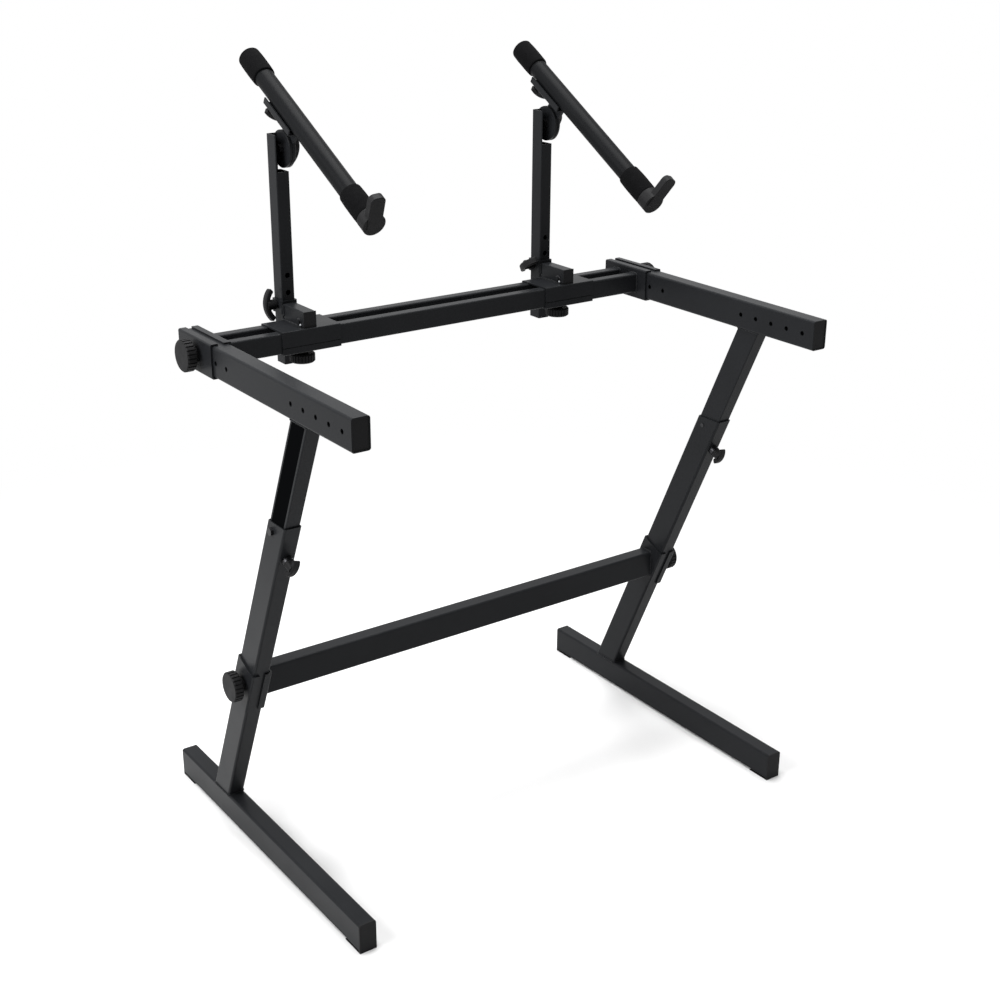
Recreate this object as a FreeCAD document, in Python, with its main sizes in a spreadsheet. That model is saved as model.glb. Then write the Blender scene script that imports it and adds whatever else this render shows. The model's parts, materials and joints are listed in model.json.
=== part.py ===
"""Two-tier z-style keyboard stand: two leaning side frames, twin rails and two tilting upper arms.

Millimetres, +Z up, front towards -Y, floor at z = 0. The origin is under the middle of the overall size:
the support arms end in front as far from it as the feet end behind it.
"""
import FreeCAD
import Part
import Sketcher
import os
import re

# Driving sizes: name, value, what it measures
SIZES = (
    ("frame_spacing", 873, "between the two side frames, centre to centre"),
    ("tube_width", 30, "frame tube, narrow side"),
    ("tube_height", 50, "frame tube, wide side"),
    ("tube_wall", 2, "frame tube wall"),
    ("tube_corner", 4, "frame tube outer corner radius"),
    ("foot_length", 634, "foot tube without its caps"),
    ("foot_setback", 11.5, "foot middle behind the stand's middle"),
    ("pad_thickness", 2, "sole under each foot end"),
    ("pad_length", 42, "sole length along the foot"),
    ("cap_face", 3, "end cap outside the foot tube"),
    ("cap_depth", 18, "plug inside a tube end"),
    ("cap_clearance", 0.1, "plug to tube, each side"),
    ("cap_recess", 1, "arm cap set back from the tube end"),
    ("leg_lean", 24, "lean of the legs from upright, degrees"),
    ("leg_setback", 168, "leg axis behind the middle, at the foot"),
    ("sleeve_top", 647.5, "height of the level cut on the sleeve"),
    ("sleeve_clearance", 0.5, "upper leg to sleeve, each side"),
    ("upper_leg_foot", 476, "height of the upper leg's lower end"),
    ("arm_underside", 830, "underside of the support arms"),
    ("arm_reach", 331.5, "support arm, front end ahead of the middle"),
    ("arm_tail", 203.5, "support arm, rear end behind the middle"),
    ("arm_hole", 8, "holes in the support arm"),
    ("arm_hole_pitch", 36.25, "hole spacing in the support arm"),
    ("arm_hole_inset", 25, "first hole from the arm's front end"),
    ("arm_hole_count", 5, "holes in the front row"),
    ("tail_hole_inset", 410, "rear pair of holes from the arm's front end"),
    ("crossbar_level", 313.6, "height of the lower crossbar"),
    ("saddle_thickness", 3, "folded saddle plate"),
    ("saddle_flange", 10, "saddle flange over the tube"),
    ("leg_saddle_length", 88, "crossbar saddle along the leg"),
    ("rail_saddle_length", 116, "rail saddle along the arm"),
    ("rail_centre", 145.5, "centre of the rail pair behind the middle"),
    ("rail_spread", 68, "rail pair, outside to outside"),
    ("rail_depth", 20, "rail tube, narrow side"),
    ("rail_height", 34, "rail tube, wide side"),
    ("rail_rise", 1.5, "rails above the axis of the support arms"),
    ("rail_wall", 1.5, "rail tube wall"),
    ("rail_corner", 3, "rail tube outer corner radius"),
    ("clamp_knob_diameter", 52, "round knob over its ribs"),
    ("clamp_knob_rim", 16, "round knob rim thickness"),
    ("clamp_knob_collar", 26, "round knob collar diameter"),
    ("clamp_knob_neck", 7, "round knob collar height"),
    ("clamp_stud", 10, "stud of the round knob"),
    ("under_knob_diameter", 42, "carriage knob over its ribs"),
    ("under_knob_rim", 15, "carriage knob rim thickness"),
    ("under_knob_collar", 20, "carriage knob collar diameter"),
    ("under_knob_neck", 10, "carriage knob collar height"),
    ("under_stud", 8, "stud of the carriage knob"),
    ("knob_edge", 2, "bevel of the knob rims"),
    ("rib_groove", 1.6, "groove depth between knob ribs"),
    ("rib_count", 24, "ribs around a knob"),
    ("knob_gap", 0.3, "knob to the face it tightens on"),
    ("thread_gap", 0.05, "screw to nut, radial"),
    ("hole_gap", 0.4, "screw to plain hole, radial"),
    ("tip_gap", 0.3, "screw tip to the tube it locks"),
    ("clamp_nut_width", 20, "weld nut over its corners"),
    ("clamp_nut_length", 12, "weld nut length"),
    ("lock_level", 597, "height screw on the leg axis"),
    ("lock_nut_diameter", 18, "height screw nut"),
    ("lock_nut_length", 8, "height screw nut length"),
    ("side_screw_level", 632, "side screws of the sleeve"),
    ("side_screw_back", 8, "side screws behind the leg axis"),
    ("side_screw", 8, "side screw diameter"),
    ("side_head_width", 14, "side screw head over its corners"),
    ("side_head_height", 5, "side screw head height"),
    ("side_tip_height", 1, "side screw tip outside the sleeve"),
    ("wing_span", 55, "wing knob, tip to tip"),
    ("wing_height", 20, "wing knob, base to crest"),
    ("wing_curve", 38, "wing knob crest radius"),
    ("wing_section", 9, "wing thickness along the screw"),
    ("wing_width", 12, "wing width"),
    ("wing_hub", 17, "wing knob hub diameter"),
    ("wing_edge", 1.8, "bevel of the wing knob"),
    ("wing_stud", 8, "wing knob screw"),
    ("lock_span", 34, "height knob, tip to tip"),
    ("lock_height", 19, "height knob, base to crest"),
    ("lock_curve", 24, "height knob crest radius"),
    ("grip_span", 44, "arm knob, tip to tip"),
    ("grip_height", 18, "arm knob, base to crest"),
    ("grip_curve", 30, "arm knob crest radius"),
    ("left_carriage_offset", 266, "left carriage centre from the middle"),
    ("right_carriage_offset", 259.5, "right carriage centre from the middle"),
    ("carriage_length", 107, "carriage along the rails"),
    ("channel_plate", 2, "carriage plate thickness"),
    ("slide_clearance", 0.2, "carriage to rails"),
    ("plate_lip", 11, "upturned lip of the clamp plate"),
    ("lip_gap", 1, "lip to channel edge"),
    ("block_width", 22.5, "block tube, across"),
    ("block_height", 26, "block tube, upright"),
    ("block_wall", 1.5, "block tube wall"),
    ("block_corner", 2, "block tube corner radius"),
    ("block_front", 115.5, "front end of the block behind the middle"),
    ("block_cap_face", 1.5, "block cap outside the tube"),
    ("block_cap_depth", 9, "block cap plug inside the tube"),
    ("block_nut_width", 15, "nut in the block over its corners"),
    ("block_nut_height", 7, "nut in the block"),
    ("block_screw_width", 8, "small screw on the block over its corners"),
    ("block_screw_height", 3, "small screw head height"),
    ("block_screw_inset", 14, "small screw from the block's front end"),
    ("socket_height", 22, "socket around the post"),
    ("socket_wall", 2.8, "socket wall"),
    ("socket_corner", 3, "socket corner radius"),
    ("socket_rise", 4.3, "socket top above the block"),
    ("socket_boss_width", 13, "socket nut over its corners"),
    ("socket_boss_height", 2, "socket nut height"),
    ("post_knob_level", 898, "height of the post knob"),
    ("post_knob_back", 2, "post knob behind the socket's middle"),
    ("post_clearance", 0.2, "post to socket, each side"),
    ("post_width", 23, "post tube, across"),
    ("post_depth", 28.5, "post tube, front to back"),
    ("post_wall", 1.5, "post tube wall"),
    ("post_corner", 2, "post tube corner radius"),
    ("post_foot", 798, "lower end of the post"),
    ("post_top", 1172, "top of the post"),
    ("post_hole", 9, "holes in the post"),
    ("post_hole_pitch", 28.5, "hole spacing in the post"),
    ("post_hole_top", 947, "height of the top post hole"),
    ("post_hole_count", 5, "holes in the post"),
    ("notch_depth", 58, "notch at the post's top"),
    ("pivot_drop", 24, "tilt axis below the post's top"),
    ("disc_diameter", 60, "tilt disc"),
    ("disc_thickness", 5.4, "tilt disc thickness"),
    ("disc_inset", 5.9, "tilt disc from the post's middle plane"),
    ("disc_gap", 0.3, "between the two tilt discs"),
    ("disc_edge", 0.8, "bevel of the tilt discs"),
    ("tilt_bolt_width", 15, "tilt bolt head over its corners"),
    ("tilt_bolt_head", 5, "tilt bolt head height"),
    ("bolt_reach", 12, "bolt length inside a wing knob"),
    ("left_tilt_angle", 28.8, "left upper arm below level, degrees"),
    ("right_tilt_angle", 30.2, "right upper arm below level, degrees"),
    ("arm_rise", 61.5, "upper arm axis above the tilt axis"),
    ("neck_width", 30, "bracket neck width at the disc"),
    ("neck_front", 24, "bracket neck at the channel, ahead of the tilt axis"),
    ("cradle_plate", 2.5, "channel under the arm, plate"),
    ("cradle_flange", 9, "channel under the arm, flange"),
    ("cradle_front", 26, "channel ahead of the tilt axis"),
    ("cradle_back", 62, "channel behind the tilt axis"),
    ("cradle_clearance", 0.3, "arm tube to its channel"),
    ("clamp_setback", 43, "arm clamp bolt behind the tilt axis"),
    ("clamp_head_width", 14, "clamp bolt head over its corners"),
    ("clamp_head_height", 6, "clamp bolt head height"),
    ("clamp_head_rise", 1.7, "clamp bolt head above the tube's inside"),
    ("arm_diameter", 31.8, "upper arm tube"),
    ("arm_wall", 1.6, "upper arm tube wall"),
    ("arm_length", 413.5, "upper arm without its end lip"),
    ("left_arm_tail", 160.7, "left arm behind the tilt axis"),
    ("right_arm_tail", 133, "right arm behind the tilt axis"),
    ("slot_width", 9.4, "slot under the arm tube"),
    ("slot_start", 78, "slot from the arm's rear end"),
    ("slot_end", 186, "slot end from the arm's rear end"),
    ("foam_diameter", 37.5, "foam sleeve"),
    ("foam_length", 57, "foam sleeve length"),
    ("foam_end", 3, "foam over the tube's rear end"),
    ("lip_diameter", 38, "end lip, round base"),
    ("lip_base", 20, "end lip, base thickness"),
    ("lip_plug", 15, "end lip, plug in the tube"),
    ("lip_tab_width", 25, "end lip, stop tab width"),
    ("lip_tab_reach", 52, "end lip, stop tab from the tube axis"),
    ("lip_tab_back", 10, "end lip, tab back face from the base"),
    ("lip_depth", 22, "end lip, base to tab front"),
    ("lip_corner", 9, "end lip, tab corner radius"),
    ("lip_edge", 1.2, "end lip, bevel"),
    ("lip_clearance", 0.1, "lip plug to tube, radial"),
    ("left_lip_turn", 7, "left lip turned about its tube, degrees"),
    ("right_lip_turn", -19, "right lip turned about its tube, degrees"),
    ("left_post_turn", 8, "left post knob turned, degrees"),
    ("right_post_turn", -60, "right post knob turned, degrees"),
    ("left_tilt_turn", 12, "left tilt knob turned, degrees"),
    ("right_tilt_turn", 40, "right tilt knob turned, degrees"),
    ("left_arm_turn", 35, "left arm knob turned, degrees"),
    ("right_arm_turn", 45, "right arm knob turned, degrees"),
    ("left_lock_turn", 70, "left height knob turned, degrees"),
    ("right_lock_turn", 80, "right height knob turned, degrees"),
)

# Sizes that follow from the driving ones
FOLLOWING = {
    "frame_x": "frame_spacing / 2",
    "foot_top": "pad_thickness + tube_height",
    "bar_span": "frame_spacing - tube_width - 2 * saddle_thickness",
    "crossbar_y": "leg_setback - (crossbar_level - foot_top) * tan(leg_lean)",
    "lock_y": "leg_setback - (lock_level - foot_top) * tan(leg_lean)",
    "side_screw_y": "leg_setback - (side_screw_level - foot_top) * tan(leg_lean) + side_screw_back",
    "upper_leg_y": "leg_setback - (upper_leg_foot - foot_top) * tan(leg_lean)",
    "upper_width": "tube_width - 2 * tube_wall - 2 * sleeve_clearance",
    "upper_depth": "tube_height - 2 * tube_wall - 2 * sleeve_clearance",
    "arm_level": "arm_underside + tube_height / 2",
    "clamp_face": "frame_x + tube_width / 2 + saddle_thickness + knob_gap",
    "clamp_reach": "tube_width + 2 * saddle_thickness + clamp_nut_length + knob_gap",
    "rail_level": "arm_level + rail_rise",
    "rail_top": "rail_level + rail_height / 2",
    "rail_bottom": "rail_level - rail_height / 2",
    "channel_half": "rail_spread / 2 + slide_clearance",
    "channel_top": "rail_top + slide_clearance + channel_plate",
    "channel_back": "rail_centre + channel_half + channel_plate",
    "plate_bottom": "rail_bottom - slide_clearance - channel_plate",
    "lip_top": "plate_bottom + plate_lip",
    "block_top": "channel_top + block_height",
    "socket_margin": "socket_wall + post_clearance",
    "socket_width": "post_width + 2 * socket_margin",
    "socket_depth": "post_depth + 2 * socket_margin",
    "socket_y": "channel_back + socket_depth / 2",
    "socket_top": "block_top + socket_rise",
    "under_reach": "channel_top - plate_bottom + block_wall + block_nut_height + knob_gap",
    "pivot_level": "post_top - pivot_drop",
    "outer_disc": "disc_inset + disc_thickness + disc_gap",
    "arm_x": "outer_disc + disc_thickness / 2",
    "tilt_face": "outer_disc + disc_thickness + knob_gap",
    "cradle_top": "arm_rise - arm_diameter / 2 - cradle_clearance",
    "cradle_bottom": "cradle_top - cradle_plate",
    "cradle_half": "arm_diameter / 2 + cradle_clearance",
    "arm_knob_face": "cradle_bottom - knob_gap",
    "clamp_head_foot": "arm_rise - arm_diameter / 2 + arm_wall + clamp_head_rise",
    "wing_bore": "wing_stud / 2 + thread_gap",
}

SIDES = (("left", "-1"), ("right", "1"))
X_AXIS = FreeCAD.Vector(1, 0, 0)
Y_AXIS = FreeCAD.Vector(0, 1, 0)
Z_AXIS = FreeCAD.Vector(0, 0, 1)

doc = FreeCAD.newDocument("keyboard_stand")
sheet = doc.addObject("Spreadsheet::Sheet", "Sizes")
for row, (size_name, size, meaning) in enumerate(SIZES, start=1):
    sheet.set("A%d" % row, meaning)
    sheet.set("B%d" % row, str(size))
    sheet.setAlias("B%d" % row, size_name)
doc.recompute()

SIZE_NAMES = {size_name for size_name, size, meaning in SIZES}
nodes = []


def refer(text):
    """The expression with every size name turned into its sheet cell."""
    def swap(match):
        word = match.group(0)
        if word in SIZE_NAMES:
            return "Sizes." + word
        if word in FOLLOWING:
            return "(" + refer(FOLLOWING[word]) + ")"
        return word
    return re.sub(r"[A-Za-z_]+", swap, str(text))


def value(text):
    """The number an expression stands for now."""
    return float(sheet.evalExpression(refer(text)))


def bind(item, path, text):
    item.setExpression(path, refer(text))


def place(item, x="0", y="0", z="0", axis=None, angle="0"):
    """Puts an item at a point, turned about one axis."""
    if axis is not None:
        item.Placement = FreeCAD.Placement(FreeCAD.Vector(), FreeCAD.Rotation(axis, value(angle)))
        bind(item, "Placement.Rotation.Angle", angle)
    bind(item, "Placement.Base.x", x)
    bind(item, "Placement.Base.y", y)
    bind(item, "Placement.Base.z", z)
    return item


def node(item, label):
    """Names a finished piece and keeps it for writing."""
    item.Label = label
    nodes.append(item)
    return item


def new_body(name):
    return doc.addObject("PartDesign::Body", name)


def origin_feature(body, role):
    for feature in body.Origin.OriginFeatures:
        if feature.Role == role:
            return feature
    raise ValueError(role)


def new_sketch(body, plane, offset=None):
    """A sketch on one of the body's own planes, moved along the plane's normal."""
    sketch = body.newObject("Sketcher::SketchObject", body.Name + "_sketch")
    sketch.AttachmentSupport = [(origin_feature(body, plane), "")]
    sketch.MapMode = "FlatFace"
    if offset is not None:
        bind(sketch, "AttachmentOffset.Base.z", offset)
    return sketch


def pin(sketch, item, end, x, y):
    """Ties a sketch point to the sheet, measured from the sketch origin."""
    for kind, text, axis in (("DistanceX", x, -2), ("DistanceY", y, -1)):
        if text == "0":
            sketch.addConstraint(Sketcher.Constraint("PointOnObject", item, end, axis))
        else:
            tie = Sketcher.Constraint(kind, -1, 1, item, end, value(text))
            bind(sketch, "Constraints[%d]" % sketch.addConstraint(tie), text)


def outline(sketch, corners):
    """A closed outline of straight lines through the corners."""
    points = [FreeCAD.Vector(value(x), value(y), 0) for x, y in corners]
    first = sketch.GeometryCount
    for number, point in enumerate(points):
        sketch.addGeometry(Part.LineSegment(point, points[(number + 1) % len(points)]), False)
    for number in range(len(points)):
        following = first + (number + 1) % len(points)
        sketch.addConstraint(Sketcher.Constraint("Coincident", first + number, 2, following, 1))
    for number, (x, y) in enumerate(corners):
        pin(sketch, first + number, 1, x, y)


def rectangle(sketch, width, height):
    """A rectangle centred on the sketch origin."""
    across = "(%s) / 2" % width
    along = "(%s) / 2" % height
    outline(sketch, (
        ("-" + across, "-" + along),
        (across, "-" + along),
        (across, along),
        ("-" + across, along),
    ))


def circle(sketch, x, y, radius):
    centre = FreeCAD.Vector(value(x), value(y), 0)
    item = sketch.addGeometry(Part.Circle(centre, Z_AXIS, value(radius)), False)
    pin(sketch, item, 3, x, y)
    tie = sketch.addConstraint(Sketcher.Constraint("Radius", item, value(radius)))
    bind(sketch, "Constraints[%d]" % tie, radius)


def hexagon(sketch, x, y, width):
    """A hexagon by its width over the corners."""
    corners = []
    for step in range(6):
        turn = 60 * step
        across = "%s + (%s) / 2 * cos(%d)" % (x, width, turn)
        along = "%s + (%s) / 2 * sin(%d)" % (y, width, turn)
        corners.append((across, along))
    outline(sketch, corners)


def pad(body, sketch, length, symmetric=False, backwards=False):
    feature = body.newObject("PartDesign::Pad", body.Name + "_pad")
    feature.Profile = sketch
    feature.SideType = "Symmetric" if symmetric else "One side"
    feature.Reversed = backwards
    bind(feature, "Length", length)
    return feature


def lean_pad(body, sketch, height):
    """A pad that follows the lean of the legs, cut level at both ends."""
    feature = pad(body, sketch, height)
    feature.UseCustomVector = True
    feature.Direction = FreeCAD.Vector(0, -value("sin(leg_lean)"), value("cos(leg_lean)"))
    bind(feature, "Direction.y", "-sin(leg_lean)")
    bind(feature, "Direction.z", "cos(leg_lean)")
    feature.AlongSketchNormal = True
    return feature


def cut_through(body, sketch, both_ways=True, backwards=False):
    feature = body.newObject("PartDesign::Pocket", body.Name + "_pocket")
    feature.Profile = sketch
    feature.Type = "ThroughAll"
    feature.SideType = "Symmetric" if both_ways else "One side"
    feature.Reversed = backwards
    body.Tip = feature
    return feature


def revolve(body, sketch, axis, angle="360", symmetric=False):
    feature = body.newObject("PartDesign::Revolution", body.Name + "_turn")
    feature.Profile = sketch
    feature.ReferenceAxis = (sketch, [axis])
    feature.Midplane = symmetric
    bind(feature, "Angle", angle)
    return feature


def row(body, feature, axis, pitch, count, backwards=False):
    """Repeats a feature along one of the body's axes."""
    pattern = body.newObject("PartDesign::LinearPattern", body.Name + "_row")
    pattern.Originals = [feature]
    pattern.Direction = (origin_feature(body, axis), [""])
    pattern.Mode = "Spacing"
    pattern.Reversed = backwards
    bind(pattern, "Offset", pitch)
    bind(pattern, "Occurrences", count)
    body.Tip = pattern
    return pattern


def ring(body, feature, count):
    """Repeats a feature around the body's own Z axis."""
    pattern = body.newObject("PartDesign::PolarPattern", body.Name + "_ring")
    pattern.Originals = [feature]
    pattern.Axis = (origin_feature(body, "Z_Axis"), [""])
    pattern.Angle = 360
    bind(pattern, "Occurrences", count)
    body.Tip = pattern
    return pattern


def edge_names(feature, wanted):
    """Names of the edges whose middle and direction pass a test."""
    doc.recompute()
    names = []
    for number, edge in enumerate(feature.Shape.Edges, start=1):
        middle = edge.valueAt((edge.FirstParameter + edge.LastParameter) / 2)
        along = edge.tangentAt((edge.FirstParameter + edge.LastParameter) / 2)
        if wanted(middle, along):
            names.append("Edge%d" % number)
    return names


def round_edges(body, feature, radius, wanted):
    rounding = body.newObject("PartDesign::Fillet", body.Name + "_fillet")
    rounding.Base = (feature, edge_names(feature, wanted))
    bind(rounding, "Radius", radius)
    return rounding


def bevel_edges(body, feature, size, wanted):
    bevel = body.newObject("PartDesign::Chamfer", body.Name + "_chamfer")
    bevel.Base = (feature, edge_names(feature, wanted))
    bind(bevel, "Size", size)
    return bevel


def block(name, x, y, z, length, width, height):
    """A box by its lowest corner and its sizes along X, Y and Z."""
    item = doc.addObject("Part::Box", name)
    bind(item, "Length", length)
    bind(item, "Width", width)
    bind(item, "Height", height)
    return place(item, x, y, z)


def rod(name, radius, length):
    """A cylinder standing on its own origin."""
    item = doc.addObject("Part::Cylinder", name)
    bind(item, "Radius", radius)
    bind(item, "Height", length)
    return item


def join(name, items):
    item = doc.addObject("Part::MultiFuse", name)
    item.Shapes = items
    return item


def remove(name, base, tool):
    item = doc.addObject("Part::Cut", name)
    item.Base = base
    item.Tool = tool
    return item


def group(name, items):
    item = doc.addObject("Part::Compound", name)
    item.Links = items
    return item


# Tubes

def tube(name, width, depth, wall, corner, length):
    """A rectangular tube standing on its own origin, with rounded corners."""
    body = new_body(name)
    sketch = new_sketch(body, "XY_Plane")
    rectangle(sketch, width, depth)
    rectangle(sketch, "%s - 2 * %s" % (width, wall), "%s - 2 * %s" % (depth, wall))
    body.Tip = pad(body, sketch, length)
    half_width = value(width) / 2
    half_depth = value(depth) / 2

    def outer_corner(middle, along):
        near_side = abs(abs(middle.x) - half_width) < 0.01
        return near_side and abs(abs(middle.y) - half_depth) < 0.01 and abs(along.z) > 0.99

    body.Tip = round_edges(body, body.Tip, corner, outer_corner)
    return body


def leaning_tube(name, width, depth, wall, corner, height):
    """A rectangular tube that leans with the legs, both ends level, standing on its own origin."""
    body = new_body(name)
    sketch = new_sketch(body, "XY_Plane")
    rectangle(sketch, width, "(%s) / cos(leg_lean)" % depth)
    rectangle(sketch, "%s - 2 * %s" % (width, wall), "(%s - 2 * %s) / cos(leg_lean)" % (depth, wall))
    body.Tip = lean_pad(body, sketch, height)
    half_width = value(width) / 2
    half_depth = value("(%s) / cos(leg_lean) / 2" % depth)
    slope = value("tan(leg_lean)")

    def outer_corner(middle, along):
        across = middle.y + middle.z * slope
        near_side = abs(abs(middle.x) - half_width) < 0.01
        return near_side and abs(abs(across) - half_depth) < 0.01 and abs(along.z) > 0.5

    body.Tip = round_edges(body, body.Tip, corner, outer_corner)
    return body


# Knobs

def ribbed_knob(name, kind):
    """A round knob with a ribbed rim on a collar, its screw axis along Z and its base on z = 0."""
    body = new_body(name)
    outer = kind + "_knob_diameter / 2"
    collar = kind + "_knob_collar / 2"
    neck = kind + "_knob_neck"
    crest = kind + "_knob_neck + " + kind + "_knob_rim"
    profile = new_sketch(body, "XZ_Plane")
    outline(profile, (
        ("0", "0"),
        (collar, "0"),
        (collar, neck),
        (outer + " - knob_edge", neck),
        (outer, neck + " + knob_edge"),
        (outer, crest + " - knob_edge"),
        (outer + " - knob_edge", crest),
        ("0", crest),
    ))
    revolve(body, profile, "V_Axis")
    groove = new_sketch(body, "XY_Plane")
    half_mouth = "pi * " + outer + " / rib_count / 2"
    outline(groove, (
        (outer + " - rib_groove", "-(" + half_mouth + ") / 2"),
        (outer + " + rib_groove", "-(" + half_mouth + ")"),
        (outer + " + rib_groove", half_mouth),
        (outer + " - rib_groove", "(" + half_mouth + ") / 2"),
    ))
    ring(body, cut_through(body, groove), "rib_count")
    return body


def clamp_knob(name, label, kind, reach, x, y, z, axis, angle):
    """A ribbed knob with its stud, placed on the face it tightens on."""
    head = ribbed_knob(name + "_head", kind)
    stud = rod(name + "_stud", kind + "_stud / 2", reach)
    place(stud, z="-(" + reach + ")")
    return node(place(group(name, [head, stud]), x, y, z, axis, angle), label)


def wing_head(name, span, height, curve, turn, bore=None):
    """A wing knob: a curved bar on a hub, its screw axis along Z and its base on z = 0."""
    body = new_body(name)
    section = new_sketch(body, "YZ_Plane")
    outline(section, (
        ("-wing_width / 2", height + " - wing_section"),
        ("wing_width / 2", height + " - wing_section"),
        ("wing_width / 2", height),
        ("-wing_width / 2", height),
    ))
    middle = height + " - " + curve
    start = FreeCAD.Vector(-value("wing_width"), value(middle), 0)
    end = FreeCAD.Vector(value("wing_width"), value(middle), 0)
    axis = section.addGeometry(Part.LineSegment(start, end), True)
    pin(section, axis, 1, "-wing_width", middle)
    pin(section, axis, 2, "wing_width", middle)
    bar = revolve(body, section, "Axis0", "2 * asin(" + span + " / 2 / " + curve + ")", symmetric=True)
    bevel_edges(body, bar, "wing_edge", lambda spot, along: True)
    hub = new_sketch(body, "XY_Plane")
    circle(hub, "0", "0", "wing_hub / 2")
    body.Tip = pad(body, hub, height + " - wing_section / 2")
    if bore is not None:
        hole = new_sketch(body, "XY_Plane")
        circle(hole, "0", "0", "wing_bore")
        drill = body.newObject("PartDesign::Pocket", name + "_bore")
        drill.Profile = hole
        drill.Reversed = True
        bind(drill, "Length", bore)
        body.Tip = drill
    return place(body, axis=Z_AXIS, angle=turn)


# Folded saddles

def saddle(name, sign, length, nut=False):
    """A folded channel over one side of a frame tube, with the tube axis along Z through its origin."""
    body = new_body(name)
    inside = sign + " * tube_width / 2"
    outside = sign + " * (tube_width / 2 + saddle_thickness)"
    rim = sign + " * (tube_width / 2 - saddle_flange)"
    low = "tube_height / 2"
    high = "(tube_height / 2 + saddle_thickness)"
    profile = new_sketch(body, "XY_Plane")
    outline(profile, (
        (rim, "-" + high),
        (outside, "-" + high),
        (outside, high),
        (rim, high),
        (rim, low),
        (inside, low),
        (inside, "-" + low),
        (rim, "-" + low),
    ))
    fold = pad(body, profile, length, symmetric=True)
    bend_x = value(outside)
    bend_y = value(high)

    def bend(middle, along):
        return abs(middle.x - bend_x) < 0.01 and abs(abs(middle.y) - bend_y) < 0.01 and abs(along.z) > 0.99

    body.Tip = round_edges(body, fold, "saddle_thickness", bend)
    hole_radius = "clamp_stud / 2 + hole_gap"
    if nut:
        face = new_sketch(body, "YZ_Plane", outside)
        hexagon(face, "0", "0", "clamp_nut_width")
        body.Tip = pad(body, face, "clamp_nut_length", backwards=sign == "-1")
        hole_radius = "clamp_stud / 2 + thread_gap"
    hole = new_sketch(body, "YZ_Plane")
    circle(hole, "0", "0", hole_radius)
    cut_through(body, hole)
    return body


def build_side_frames():
    """Feet, legs, crossbar and everything fixed to them."""
    caps = []
    inner_saddles = []
    outer_saddles = []
    lock_nuts = []
    side_screws = []
    for side, sign in SIDES:
        frame = sign + " * frame_x"
        foot = tube(side + "_foot", "tube_width", "tube_height", "tube_wall", "tube_corner", "foot_length")
        place(foot, frame, "foot_setback - foot_length / 2", "pad_thickness + tube_height / 2", X_AXIS, "-90")
        node(foot, side + "_foot")
        for end, way in (("front", "-1"), ("rear", "1")):
            caps.append(foot_cap(side + "_" + end + "_cap", frame, way))
        lower_leg(side, frame)
        inward = "1" if side == "left" else "-1"
        sorts = (("inner", inward, inner_saddles, True), ("outer", sign, outer_saddles, False))
        for sort, way, shelf, nut in sorts:
            piece = saddle(side + "_" + sort + "_leg_saddle", way, "leg_saddle_length", nut)
            shelf.append(place(piece, frame, "crossbar_y", "crossbar_level", X_AXIS, "leg_lean"))
        quarter_turn = "-90" if side == "left" else "90"
        clamp_knob(side + "_crossbar_clamp", side + "_crossbar_knob", "clamp", "clamp_reach",
                   sign + " * clamp_face", "crossbar_y", "crossbar_level", Y_AXIS, quarter_turn)
        lock_nuts.append(height_lock(side, frame))
        side_screws.extend(sleeve_screws(side, sign))
    node(group("foot_caps", caps), "foot_end_caps")
    node(group("inner_leg_saddles", inner_saddles), "crossbar_inner_saddles")
    node(group("outer_leg_saddles", outer_saddles), "crossbar_outer_saddles")
    node(group("lock_nuts", lock_nuts), "height_nuts")
    node(group("side_screws", side_screws), "leg_side_bolts")
    crossbar = tube("crossbar", "tube_height", "tube_width", "tube_wall", "tube_corner", "bar_span")
    place(crossbar, "-bar_span / 2", "crossbar_y", "crossbar_level", Y_AXIS, "90")
    node(crossbar, "lower_crossbar")


def foot_cap(name, frame, way):
    """A moulded cap: plug in the tube, face over its end and a thin sole under it."""
    inner_width = "tube_width - 2 * tube_wall - 2 * cap_clearance"
    inner_height = "tube_height - 2 * tube_wall - 2 * cap_clearance"
    tube_end = "foot_setback + " + way + " * foot_length / 2"
    outward = way == "1"
    plug_y = tube_end + (" - cap_depth" if outward else "")
    face_y = tube_end + ("" if outward else " - cap_face")
    sole_y = tube_end + (" - pad_length" if outward else "")
    plug = block(name + "_plug", frame + " - (%s) / 2" % inner_width, plug_y,
                 "pad_thickness + tube_wall + cap_clearance", inner_width, "cap_depth", inner_height)
    face = cap_plate(name + "_face")
    place(face, frame, face_y, "foot_top / 2")
    sole = block(name + "_sole", frame + " - tube_width / 2", sole_y, "0",
                 "tube_width", "pad_length", "pad_thickness")
    return join(name, [plug, face, sole])


def cap_plate(name):
    """The cap's face, its upper corners rounded like the tube's."""
    body = new_body(name)
    sketch = new_sketch(body, "XZ_Plane")
    rectangle(sketch, "tube_width", "foot_top")
    plate = pad(body, sketch, "cap_face", backwards=True)
    crest = value("foot_top / 2")

    def upper_corner(middle, along):
        return abs(middle.z - crest) < 0.01 and abs(along.y) > 0.99

    body.Tip = round_edges(body, plate, "tube_corner", upper_corner)
    return body


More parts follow.
